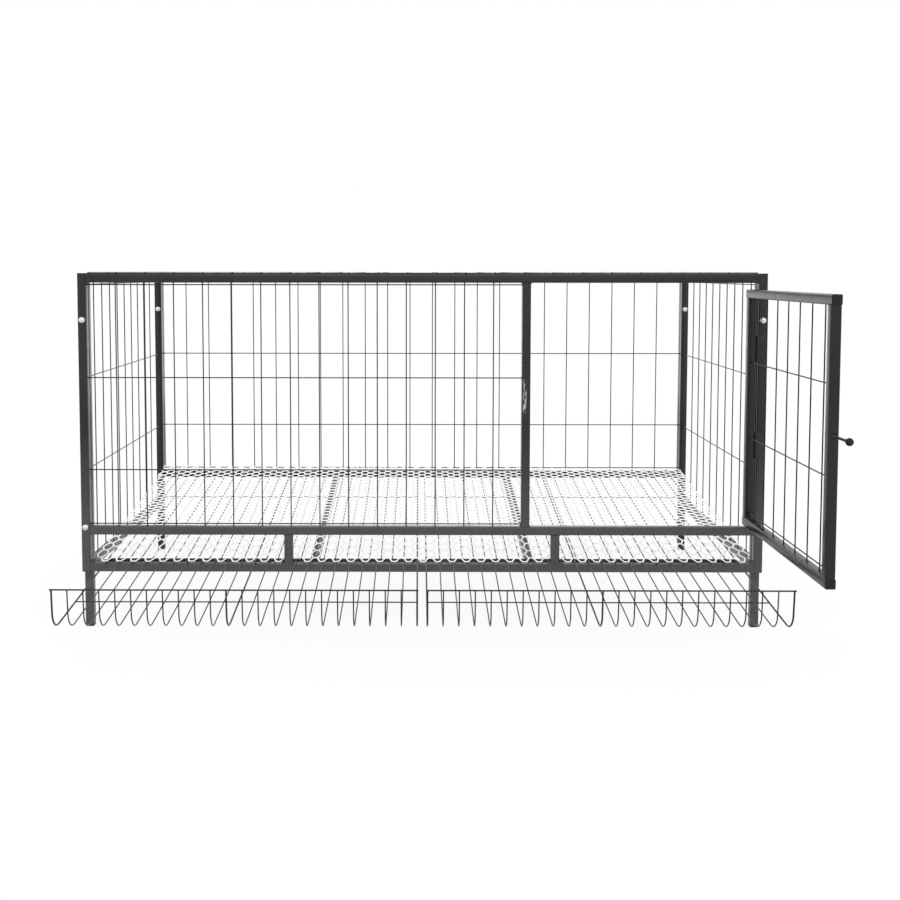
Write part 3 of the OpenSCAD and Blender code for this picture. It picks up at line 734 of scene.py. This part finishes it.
def butt_seams(butt, through, seam_axis):
    """The inside corners where one tube ends on another, as pairs of points along the seam axis."""
    butt_low, butt_high = corners(butt)
    low, high = corners(through)
    seams = []
    for across in [axis for axis in (X, Y, Z) if axis != seam_axis]:
        side = X + Y + Z - across - seam_axis
        faces = []
        if abs(butt_high[across] - low[across]) < TOUCH:
            faces.append(low[across])
        if abs(butt_low[across] - high[across]) < TOUCH:
            faces.append(high[across])
        for face in faces:
            for edge in (butt_low[side], butt_high[side]):
                if not low[side] + MM < edge < high[side] - MM:
                    continue
                start, end = Vector(), Vector()
                start[across] = end[across] = face
                start[side] = end[side] = edge
                start[seam_axis] = max(low[seam_axis], butt_low[seam_axis])
                end[seam_axis] = min(high[seam_axis], butt_high[seam_axis])
                seams.append((start, end))
    return seams


def build_beads():
    bead = bead_shape()
    for body, joints, coat in (("cage", CAGE_JOINTS, None), ("door", DOOR_JOINTS, DOOR_SHADED_COAT)):
        beads = bmesh.new()
        for butt, ends_on, seam_axis in joints:
            for through in ends_on:
                for start, end in butt_seams(butt, through, seam_axis):
                    lay_bead(beads, bead, start, end)
        make_piece(body + "_weld_beads", beads, body, "frame_paint", crease=60, coat=coat)
    bead.free()


build_beads()


# Welded crossings and ends of the wires


class WeldSpots:
    """Rounded spots of weld with few faces, gathered in one shape."""

    def __init__(self):
        self.shape = bmesh.new()
        self.nugget = bmesh.new()
        bmesh.ops.create_uvsphere(self.nugget, u_segments=8, v_segments=5, radius=1.0)

    def add(self, at, axis, radius, thin):
        size = [radius] * 3
        size[axis] = thin
        stamp(self.shape, self.nugget, Matrix.Translation(at) @ stretch(*size))

    def crossing(self, at, axis):
        """A spot between two crossing wires, thin from one wire to the other."""
        self.add(at, axis, CROSSING_R, CROSSING_THIN)

    def wire_end(self, at, axis):
        """A spot where a wire ends on a tube, thin along the wire."""
        self.add(at, axis, WIRE_END_R, WIRE_END_THIN)


def weld_upright_panel(spots, plane, left, right, low, bottom_gap):
    """The welds of the front or the back panel."""
    heights = level_heights(low) + [low + bottom_gap]
    for x in spread(left, right, WIRE_PITCH):
        spots.wire_end((x, plane, low), Z)
        spots.wire_end((x, plane, TOP_UNDER), Z)
        for z in heights:
            spots.crossing((x, plane + LEVEL_BEHIND / 2, z), Y)
    for z in heights:
        spots.wire_end((left, plane + LEVEL_BEHIND, z), X)
        spots.wire_end((right, plane + LEVEL_BEHIND, z), X)


def weld_side_panel(spots, leg, inward):
    """The welds of the panel behind one front leg."""
    x = middle(leg).x
    heights = level_heights(FLOOR_TOP) + [FLOOR_TOP + 2 * EDGE_WIRE_GAP]
    for place in spread(LEG_FRONT, LEG_BACK, WIRE_PITCH):
        y = place + SIDE_WIRE_SHIFT
        spots.wire_end((x, y, FLOOR_TOP), Z)
        spots.wire_end((x, y, TOP_UNDER), Z)
        for z in heights:
            spots.crossing((x + inward * LEVEL_BEHIND / 2, y, z), X)
    for y in (LEG_FRONT, LEG_BACK):
        for z in heights:
            spots.wire_end((x + inward * LEVEL_BEHIND, y, z), Y)


def weld_roof_panel(spots):
    z = corners("roof_wire_panel")[0].z + ROOF_CROSSING_RISE
    end_wires = [INNER_LEFT + ROOF_END_GAP, INNER_RIGHT - ROOF_END_GAP]
    for x in end_wires + spread(INNER_LEFT, INNER_RIGHT, WIRE_PITCH):
        for y in [FRONT_PLANE, BACK_PLANE] + spread(LEG_FRONT, LEG_BACK, LEVEL_PITCH):
            spots.crossing((x, y, z), Z)


def weld_door_panel(spots):
    plane = middle("door_hinge_stile").x
    near, far = corners("door_latch_stile")[1].y, corners("door_hinge_stile")[0].y
    low, high = corners("door_bottom_rail")[1].z, corners("door_top_rail")[0].z
    upper_level = high - DOOR_LEVEL_STEPS[0]
    heights = [upper_level, upper_level - DOOR_LEVEL_STEPS[1], low + 3 * EDGE_WIRE_GAP]
    for place in range(DOOR_WIRES):
        y = near + (place + 0.5) * (far - near) / DOOR_WIRES
        spots.wire_end((plane, y, low), Z)
        spots.wire_end((plane, y, high), Z)
        for z in heights:
            spots.crossing((plane - LEVEL_BEHIND / 2, y, z), X)
    for z in heights:
        for y in (near, far):
            spots.wire_end((plane - LEVEL_BEHIND, y, z), Y)


def build_wire_welds():
    on_cage, on_door = WeldSpots(), WeldSpots()
    centre_post_left = corners("front_centre_post")[0].x
    weld_upright_panel(on_cage, FRONT_PLANE, INNER_LEFT, centre_post_left, MID_TOP, EDGE_WIRE_GAP)
    weld_upright_panel(on_cage, BACK_PLANE, INNER_LEFT, INNER_RIGHT, BACK_TOP, 2 * EDGE_WIRE_GAP)
    weld_side_panel(on_cage, "left_front_leg", 1)
    weld_side_panel(on_cage, "right_front_leg", -1)
    weld_roof_panel(on_cage)
    weld_door_panel(on_door)
    make_piece("cage_wire_welds", on_cage.shape, "cage", "wire_paint", crease=180)
    make_piece("door_wire_welds", on_door.shape, "door", "wire_paint", crease=180, coat=DOOR_WIRE_SHADED_COAT)
    on_cage.nugget.free()
    on_door.nugget.free()


build_wire_welds()


# Floor net


def net_cell():
    """One six-sided cell round the origin, with its short bars along X."""
    shape = bmesh.new()
    bar, tip, side = NET_BAR / 2, NET_ROW / 2, NET_COLUMN - NET_BAR / 2
    outline = [(side, 0), (bar, tip), (-bar, tip), (-side, 0), (-bar, -tip), (bar, -tip)]
    shape.faces.new([shape.verts.new((x, y, 0)) for x, y in outline])
    return shape


def net_sheet(width, depth):
    """A flat sheet of cells from Y = 0 back, with the rows behind the open run drawn closer."""
    cell = net_cell()
    column = bmesh.new()
    drawn_out = NET_OPEN_RUN + (depth - NET_OPEN_RUN) / NET_CLOSER
    rows = math.floor(drawn_out / NET_ROW - 0.5)
    for row in range(rows):
        stamp(column, cell, move(0, (row + 0.5) * NET_ROW, 0))
    sheet = bmesh.new()
    half_columns = math.floor(width / 2 / NET_COLUMN - NET_SIDE_FREE)
    for place in range(-half_columns, half_columns + 1):
        step_back = NET_ROW / 2 if place % 2 else 0
        stamp(sheet, column, move(place * NET_COLUMN + NET_SHIFT, step_back, 0))
    cell.free()
    column.free()
    bmesh.ops.remove_doubles(sheet, verts=sheet.verts, dist=NET_MERGE)
    for vert in sheet.verts:
        vert.co.y -= max(0.0, vert.co.y - NET_OPEN_RUN) * (1 - NET_CLOSER)
    return sheet


def clear_net(sheet, middle_x, front_y):
    """Takes out the cells at the legs, and moves the front edge back at the struts."""
    lean = math.cos(FLOOR_SLOPE)
    leg_zone = INNER_RIGHT - middle_x - NET_LEG_GAP
    front_zone = (LEG_FRONT - front_y + NET_LEG_GAP) / lean
    back_zone = (LEG_BACK - front_y - NET_LEG_GAP) / lean
    at_legs = []
    for face in sheet.faces:
        for vert in face.verts:
            if abs(vert.co.x) > leg_zone and not front_zone < vert.co.y < back_zone:
                at_legs.append(face)
                break
    bmesh.ops.delete(sheet, geom=at_legs, context="FACES")
    struts = [middle("egg_gap_strut_left").x - middle_x, middle("egg_gap_strut_right").x - middle_x]
    behind_strut = (corners("egg_gap_strut_left")[1].y - front_y + NET_STRUT_GAP) / lean
    for vert in sheet.verts:
        if min(abs(vert.co.x - strut) for strut in struts) < NET_STRUT_SIDE:
            vert.co.y = max(vert.co.y, behind_strut)


def draw_strands(sheet, depth):
    """Makes the lines strands: ridged on top, flat below, faintly waved and curled up at the back."""
    bmesh.ops.wireframe(sheet, faces=sheet.faces[:], thickness=NET_STRAND, offset=0.0, use_replace=True,
                        use_boundary=True, use_even_offset=True)
    for vert in sheet.verts:
        near_front = max(0.0, 1 - vert.co.y / NET_FRONT_RUN)
        ridge = NET_RIDGE + near_front * (NET_FRONT_RIDGE - NET_RIDGE)
        vert.co.z *= ridge if vert.co.z > 0 else NET_UNDERSIDE
        wave_at = Vector((vert.co.x * NET_WAVE_SCALE, vert.co.y * NET_WAVE_SCALE, NET_WAVE_SEED))
        vert.co.z += NET_WAVE * (0.5 + 0.5 * noise.noise(wave_at))
        near_back = max(0.0, 1 - (depth - vert.co.y) / NET_CURL_RUN)
        vert.co.z += near_back ** NET_CURL_POWER * (NET_CURL_RISE - NET_CURL_LEAN * vert.co.x)


def build_net():
    low, high = corners("floor_net")
    middle_x = (low.x + high.x) / 2
    depth = (high.y - low.y) / math.cos(FLOOR_SLOPE)
    sheet = net_sheet(high.x - low.x, depth)
    clear_net(sheet, middle_x, low.y)
    draw_strands(sheet, depth)
    front_edge = move(middle_x, low.y, floor_height(low.y))
    lift = move(0, 0, NET_SEAT + NET_STRAND * NET_UNDERSIDE / 2)
    sheet.transform(front_edge @ Matrix.Rotation(FLOOR_SLOPE, 4, "X") @ lift)
    make_piece("white_floor_net", sheet, "cage", "net_plastic", ["floor_net"], crease=60)


build_net()


# Bolts, nuts and screws


def recess_bar(width, arm, depth):
    """One arm of a cross recess: a cutter round the origin that tapers in as it goes down."""
    bar = block((2 * arm, width, 2 * depth))
    tip = [vert for vert in bar.verts if vert.co.z < 0]
    bmesh.ops.scale(bar, vec=RECESS_TAPER, verts=tip)
    return bar


def dome_points(radius, height, steps):
    """A head's profile from the crown at the top down to its rim at Z = 0."""
    ball = (radius * radius + height * height) / (2 * height)
    rim = math.degrees(math.asin((ball - height) / ball))
    points = arc(0, height - ball, ball, 90, rim, steps)
    points[0] = (0, height)
    return points


def screw_shape(head_r, head_h, shank_r, length):
    """A pan-head screw with a cross recess, its head above Z = 0 and its shank below."""
    profile = dome_points(head_r, head_h, 6)
    profile.append((shank_r, 0))
    for ridge in range(RIDGES):
        z = -length * (RIDGE_START + RIDGE_RUN * ridge / RIDGES)
        profile.append((shank_r * RIDGE_ROOT, z))
        profile.append((shank_r, z - length * RIDGE_RISE))
    profile += [(shank_r * TIP_R, -length), (0, -length)]
    screw = turned(profile, 20)
    for angle in (0, 90):
        bar = recess_bar(head_r * RECESS_W, head_r * RECESS_ARM, head_h * RECESS_DEPTH)
        bar.transform(move(0, 0, head_h * RECESS_RISE) @ turn(angle, "Z"))
        screw = cut_from(screw, bar)
    return screw


def nut_shape():
    """A six-sided nut from Z = 0 up, with eased corners and an eased bore."""
    shape = bmesh.new()
    bmesh.ops.create_cone(shape, cap_ends=True, segments=6, radius1=NUT_R, radius2=NUT_R, depth=NUT_H)
    bmesh.ops.translate(shape, vec=(0, 0, NUT_H / 2), verts=shape.verts)
    rims = [edge for edge in shape.edges if abs(edge.verts[0].co.z - edge.verts[1].co.z) < TOUCH]
    round_edges(shape, rims, NUT_CORNER, 2)
    mouth_r = BOLT_R + NUT_EASE
    bore = [(0, -MM), (mouth_r, -MM), (mouth_r, 0), (BOLT_R, NUT_EASE)]
    bore += [(BOLT_R, NUT_H - NUT_EASE), (mouth_r, NUT_H), (mouth_r, NUT_H + MM), (0, NUT_H + MM)]
    return cut_from(shape, turned(bore, 24))


def corner_bolt_places():
    """Matrices that put a bolt's head on the front face of each bolted pair of uprights."""
    top = corners("front_left_post")[1].z - BOLT_TOP_DROP
    places = []
    for side in ("left", "right"):
        front, back = f"front_{side}_post", f"{side}_back_leg"
        for z in (MID_TOP - BOLT_LOW_DROP, top):
            places.append(move(middle(front).x, corners(front)[0].y, z) @ turn(90, "X"))
        for z in (BACK_TOP - TUBE_W / 2, top):
            places.append(move(middle(back).x, corners(back)[0].y, z) @ turn(90, "X"))
    return places


def build_corner_bolts():
    bolt = screw_shape(BOLT_HEAD_R, BOLT_HEAD_H, BOLT_R, BOLT_LENGTH)
    nut = nut_shape()
    bolts, nuts = bmesh.new(), bmesh.new()
    for number, place in enumerate(corner_bolt_places()):
        stamp(bolts, bolt, place @ turn(BOLT_TURN + BOLT_TURN_STEP * number, "Z"))
        stamp(nuts, nut, place @ move(0, 0, -2 * TUBE_W - NUT_H) @ turn(NUT_TURN_STEP * number, "Z"))
    make_piece("corner_bolt_set", bolts, "cage", "zinc", ["corner_bolts"])
    make_piece("corner_nut_set", nuts, "cage", "zinc", ["corner_nuts"])
    bolt.free()
    nut.free()


def build_leaf_screws():
    screw = screw_shape(SCREW_HEAD_R, LEAF_SCREW_HEAD_H, SCREW_R, LEAF_SCREW_LENGTH)
    on_posts, on_door = bmesh.new(), bmesh.new()
    for hinge in ("upper", "lower"):
        low, high = corners(hinge + "_post_leaf")
        line = middle(hinge + "_hinge_pin")
        post_face_y = high.y - LEAF_T
        door_face_x = corners(hinge + "_door_leaf")[0].x + LEAF_T
        for side in (-1, 1):
            z = (low.z + high.z) / 2 + side * LEAF_SCREW_Z
            post_place = move(line.x + LEAF_SCREW_X, post_face_y, z) @ turn(90, "X")
            stamp(on_posts, screw, post_place @ turn(POST_SCREW_TURN * side, "Z"))
            door_place = move(door_face_x, line.y - LEAF_SCREW_X, z) @ turn(90, "Y")
            stamp(on_door, screw, door_place @ turn(DOOR_SCREW_TURN * side, "Z"))
    make_piece("post_leaf_screw_set", on_posts, "cage", "frame_paint", ["post_leaf_screws"])
    make_piece("door_leaf_screw_set", on_door, "door", "frame_paint", ["door_leaf_screws"], coat=DOOR_SHADED_COAT)
    screw.free()


def build_clip_screws():
    screw = screw_shape(SCREW_HEAD_R, CLIP_SCREW_HEAD_H, SCREW_R, CLIP_SCREW_LENGTH)
    screws = bmesh.new()
    roof_levels = spread(LEG_FRONT, LEG_BACK, LEVEL_PITCH)
    clip_top = corners("left_top_rail")[1].z + CLIP_T
    for leg in ("left_front_leg", "right_front_leg"):
        for y in (roof_levels[0], roof_levels[-1]):
            place = move(middle(leg).x, y + CLIP_SCREW_BACK, clip_top)
            stamp(screws, screw, place @ turn(CLIP_SCREW_TURN * y, "Z"))
    make_piece("roof_clip_screw_set", screws, "cage", "zinc", ["roof_clip_screws"])
    screw.free()


build_corner_bolts()
build_leaf_screws()
build_clip_screws()


# Plastic ends


def tube_end(flange, edge):
    """A moulded end with its flange above Z = 0 and a ribbed plug below."""
    cap = block((TUBE_W, TUBE_W, flange), (0, 0, flange / 2))
    round_edges(cap, edges_along(cap, Z), TUBE_CORNER, 4)
    rim = []
    for corner in cap.edges:
        if min(vert.co.z for vert in corner.verts) > flange - TOUCH:
            rim.append(corner)
    round_edges(cap, rim, edge, 3)
    plug = block((PLUG_W, PLUG_W, PLUG_LENGTH), (0, 0, -PLUG_LENGTH / 2))
    tip = [vert for vert in plug.verts if vert.co.z < -PLUG_LENGTH / 2]
    bmesh.ops.scale(plug, vec=PLUG_TAPER, verts=tip)
    stamp(cap, plug, Matrix.Identity(4))
    plug.free()
    for depth in RIB_DEPTHS:
        rib = block((RIB_W, RIB_W, RIB_H), (0, 0, -depth))
        round_edges(rib, edges_along(rib, X) + edges_along(rib, Y), RIB_EDGE, 2)
        stamp(cap, rib, Matrix.Identity(4))
        rib.free()
    return cap


def build_ends():
    cap = tube_end(CAP_FLANGE, CAP_EDGE)
    foot = tube_end(FOOT_FLANGE, FOOT_EDGE)
    plug = tube_end(CAP_FLANGE, PLUG_EDGE)
    caps, feet, plugs = bmesh.new(), bmesh.new(), bmesh.new()
    legs = ["left_front_leg", "left_back_leg", "right_front_leg", "right_back_leg"]
    posts = ["front_left_post", "front_right_post", "back_left_post", "back_right_post"]
    for node in legs + posts:
        centre = middle(node)
        stamp(caps, cap, move(centre.x, centre.y, corners(node)[1].z))
    for node in legs:
        centre = middle(node)
        stamp(feet, foot, move(centre.x, centre.y, corners(node)[0].z) @ turn(180, "X"))
    for node in ("door_top_rail", "door_bottom_rail"):
        centre = middle(node)
        low, high = corners(node)
        stamp(plugs, plug, move(centre.x, low.y, centre.z) @ turn(90, "X"))
        stamp(plugs, plug, move(centre.x, high.y, centre.z) @ turn(-90, "X"))
    make_piece("post_cap_set", caps, "cage", "black_plastic", ["post_caps"])
    make_piece("foot_set", feet, "cage", "black_plastic", ["foot_caps"])
    make_piece("door_plug_set", plugs, "door", "black_plastic", ["door_rail_plugs"])
    for shape in (cap, foot, plug):
        shape.free()


build_ends()


# Hinges


def leaf_shape(knuckles, side):
    """A hinge leaf that reaches to one side of its pin line at the origin, with rolled knuckles."""
    plate_y = HINGE_OUT - LEAF_T / 2
    plate = block((LEAF_REACH - LEAF_FROM, LEAF_T, HINGE_H),
                  (side * (LEAF_REACH + LEAF_FROM) / 2, plate_y, HINGE_H / 2))
    outer = [edge for edge in edges_along(plate, Y) if side * edge.verts[0].co.x > LEAF_REACH - TOUCH]
    round_edges(plate, outer, LEAF_CORNER, 5)
    face_edges = []
    for edge in plate.edges:
        front = max(vert.co.y for vert in edge.verts) < HINGE_OUT - LEAF_T + TOUCH
        if front and side * edge.verts[0].co.x + side * edge.verts[1].co.x > 2 * LEAF_FROM + TOUCH:
            face_edges.append(edge)
    round_edges(plate, face_edges, LEAF_EDGE, 2)
    knuckle_h = (HINGE_H - 2 * KNUCKLE_GAP) / 3
    bore_r, eased_r = PIN_R + PIN_PLAY, BARREL_R - BARREL_EASE
    ring = [(bore_r, 0), (eased_r, 0), (BARREL_R, BARREL_EASE), (BARREL_R, knuckle_h - BARREL_EASE)]
    ring += [(eased_r, knuckle_h), (bore_r, knuckle_h), (bore_r, 0)]
    knuckle = turned(ring, 28)
    for place in knuckles:
        low = place * (knuckle_h + KNUCKLE_GAP)
        stamp(plate, knuckle, move(0, 0, low))
        web = block((WEB_TO - PIN_R, LEAF_T, knuckle_h),
                    (side * (WEB_TO + PIN_R) / 2, plate_y, low + knuckle_h / 2))
        stamp(plate, web, Matrix.Identity(4))
        web.free()
    knuckle.free()
    return plate


def pin_shape():
    """A hinge pin with a rounded head on top."""
    profile = [(0, 0), (PIN_R - PIN_TIP_IN, 0), (PIN_R, PIN_TIP_UP), (PIN_R, HINGE_H)]
    profile += [(radius, HINGE_H + rise) for radius, rise in PIN_HEAD]
    return turned(profile, 24)


def build_hinges():
    for hinge in ("upper", "lower"):
        line = middle(hinge + "_hinge_pin")
        low = corners(hinge + "_hinge_pin")[0].z
        at = move(line.x, line.y, low)
        post_leaf = leaf_shape([0, 2], 1)
        post_leaf.transform(at)
        make_piece(hinge + "_hinge_post_leaf", post_leaf, "cage", "frame_paint", [hinge + "_post_leaf"])
        door_leaf = leaf_shape([1], -1)
        door_leaf.transform(at @ turn(90, "Z"))
        make_piece(hinge + "_hinge_door_leaf", door_leaf, "door", "frame_paint", [hinge + "_door_leaf"],
                   coat=DOOR_SHADED_COAT)
        pin = pin_shape()
        pin.transform(at)
        make_piece(hinge + "_hinge_steel_pin", pin, "cage", "zinc", [hinge + "_hinge_pin"])


build_hinges()


# Latch

STEM_AIM = aim("Z", Vector((math.cos(STEM_DROOP), 0, -math.sin(STEM_DROOP))))


def build_latch_bolt():
    """The slide bolt along Y, with the stem that carries the knob."""
    length = LATCH_HIGH.y - LATCH_LOW.y
    profile = [(0, 0), (LATCH_BOLT_R - LATCH_NOSE, 0), (LATCH_BOLT_R, LATCH_NOSE)]
    profile += [(LATCH_BOLT_R, length - LATCH_TAIL), (LATCH_BOLT_R - LATCH_TAIL, length), (0, length)]
    bolt = turned(profile, 32)
    bolt.transform(move(LATCH_AT.x, LATCH_LOW.y, LATCH_AT.z) @ ALONG[Y])
    stem_length = (KNOB_AT - LATCH_AT).length - KNOB_R + STEM_SUNK
    stem = turned([(0, 0), (STEM_R, 0), (STEM_R, stem_length), (0, stem_length)], 20)
    stamp(bolt, stem, Matrix.Translation(LATCH_AT) @ STEM_AIM)
    stem.free()
    make_piece("latch_slide_bolt", bolt, "latch", "frame_paint", ["latch_bolt"])


def build_latch_knob():
    """The ball knob, with a neck round the stem and a faint parting line."""
    neck = [(0, -KNOB_R), (STEM_R + NECK_WALL, -KNOB_R), (STEM_R + NECK_FLARE, -KNOB_R + NECK_RISE)]
    ball = arc(0, 0, KNOB_R, NECK_ANGLE, 90, 14)
    ball[-1] = (0, KNOB_R)
    low_half = [point for point in ball if point[1] < -TOUCH]
    high_half = [point for point in ball if point[1] > TOUCH]
    knob = turned(neck + low_half + [(KNOB_R + PARTING_OUT, 0)] + high_half, 32)
    knob.transform(Matrix.Translation(KNOB_AT) @ STEM_AIM)
    make_piece("latch_ball_knob", knob, "latch", "black_plastic", ["latch_knob"])


build_latch_bolt()
build_latch_knob()


# Floor, light and camera


def seen_directly(nodes, links):
    """One for a ray from the camera, a reflection or glass, and zero for the light on the object."""
    path = nodes.new("ShaderNodeLightPath")
    total = path.outputs["Is Camera Ray"]
    for name in ("Is Glossy Ray", "Is Transmission Ray"):
        either = nodes.new("ShaderNodeMath")
        either.operation = "MAXIMUM"
        links.new(total, either.inputs[0])
        links.new(path.outputs[name], either.inputs[1])
        total = either.outputs[0]
    return total


def floor_white():
    """White paper that the camera sees as nearly plain white, and wholly so away from the cage."""
    material = bpy.data.materials.new("studio_floor_white")
    material.use_nodes = True
    nodes, links = material.node_tree.nodes, material.node_tree.links
    nodes.clear()
    paper = nodes.new("ShaderNodeBsdfDiffuse")
    paper.inputs["Color"].default_value = FLOOR_PAPER
    glow = nodes.new("ShaderNodeEmission")
    glow.inputs["Color"].default_value = WHITE
    place = nodes.new("ShaderNodeTexCoord")
    away = nodes.new("ShaderNodeVectorMath")
    away.operation = "LENGTH"
    links.new(place.outputs["Object"], away.inputs[0])
    share = nodes.new("ShaderNodeMapRange")
    for name, value in FLOOR_GLOW.items():
        share.inputs[name].default_value = value
    links.new(away.outputs["Value"], share.inputs["Value"])
    seen = nodes.new("ShaderNodeMath")
    seen.operation = "MULTIPLY"
    links.new(seen_directly(nodes, links), seen.inputs[0])
    links.new(share.outputs["Result"], seen.inputs[1])
    mixed = nodes.new("ShaderNodeMixShader")
    links.new(seen.outputs[0], mixed.inputs["Fac"])
    links.new(paper.outputs[0], mixed.inputs[1])
    links.new(glow.outputs[0], mixed.inputs[2])
    output = nodes.new("ShaderNodeOutputMaterial")
    links.new(mixed.outputs[0], output.inputs["Surface"])
    return material


def build_floor():
    shape = bmesh.new()
    bmesh.ops.create_grid(shape, x_segments=1, y_segments=1, size=FLOOR_HALF)
    mesh = bpy.data.meshes.new("studio_floor")
    shape.to_mesh(mesh)
    shape.free()
    mesh.materials.append(floor_white())
    floor = bpy.data.objects.new("studio_floor", mesh)
    bpy.context.scene.collection.objects.link(floor)


def build_world():
    """A white world that is a little darker as light on the object than as a background."""
    world = bpy.data.worlds.new("studio_world")
    bpy.context.scene.world = world
    world.use_nodes = True
    nodes, links = world.node_tree.nodes, world.node_tree.links
    background = nodes["Background"]
    background.inputs["Color"].default_value = WHITE
    level = nodes.new("ShaderNodeMapRange")
    level.inputs["To Min"].default_value = WORLD_LIGHT
    level.inputs["To Max"].default_value = WORLD_SEEN
    links.new(seen_directly(nodes, links), level.inputs["Value"])
    links.new(level.outputs["Result"], background.inputs["Strength"])


def soft_box(name, at, size, power):
    """A square area lamp that faces the middle of the cage."""
    lamp = bpy.data.lights.new(name, "AREA")
    lamp.shape = "SQUARE"
    lamp.size = size
    lamp.energy = power
    holder = bpy.data.objects.new(name, lamp)
    holder.matrix_world = Matrix.Translation(at) @ aim("-Z", LAMPS_FACE - Vector(at))
    bpy.context.scene.collection.objects.link(holder)


def build_camera():
    """The photograph's view, from just above the top rail, shifted to its framing."""
    view = bpy.data.cameras.new("photo_view")
    view.lens = LENS
    view.sensor_width = SENSOR_W
    view.shift_x = SHIFT_X
    view.shift_y = SHIFT_Y
    holder = bpy.data.objects.new("photo_view", view)
    facing = turn(CAMERA_PAN, "Z") @ turn(90 - CAMERA_DOWN, "X") @ turn(CAMERA_ROLL, "Z")
    holder.matrix_world = move(*CAMERA_AT) @ facing
    bpy.context.scene.collection.objects.link(holder)
    bpy.context.scene.camera = holder


build_floor()
build_world()
for lamp_name, lamp_values in LAMPS.items():
    soft_box(lamp_name, **lamp_values)
build_camera()
bpy.context.scene.view_settings.view_transform = "Standard"

bpy.context.view_layer.update()
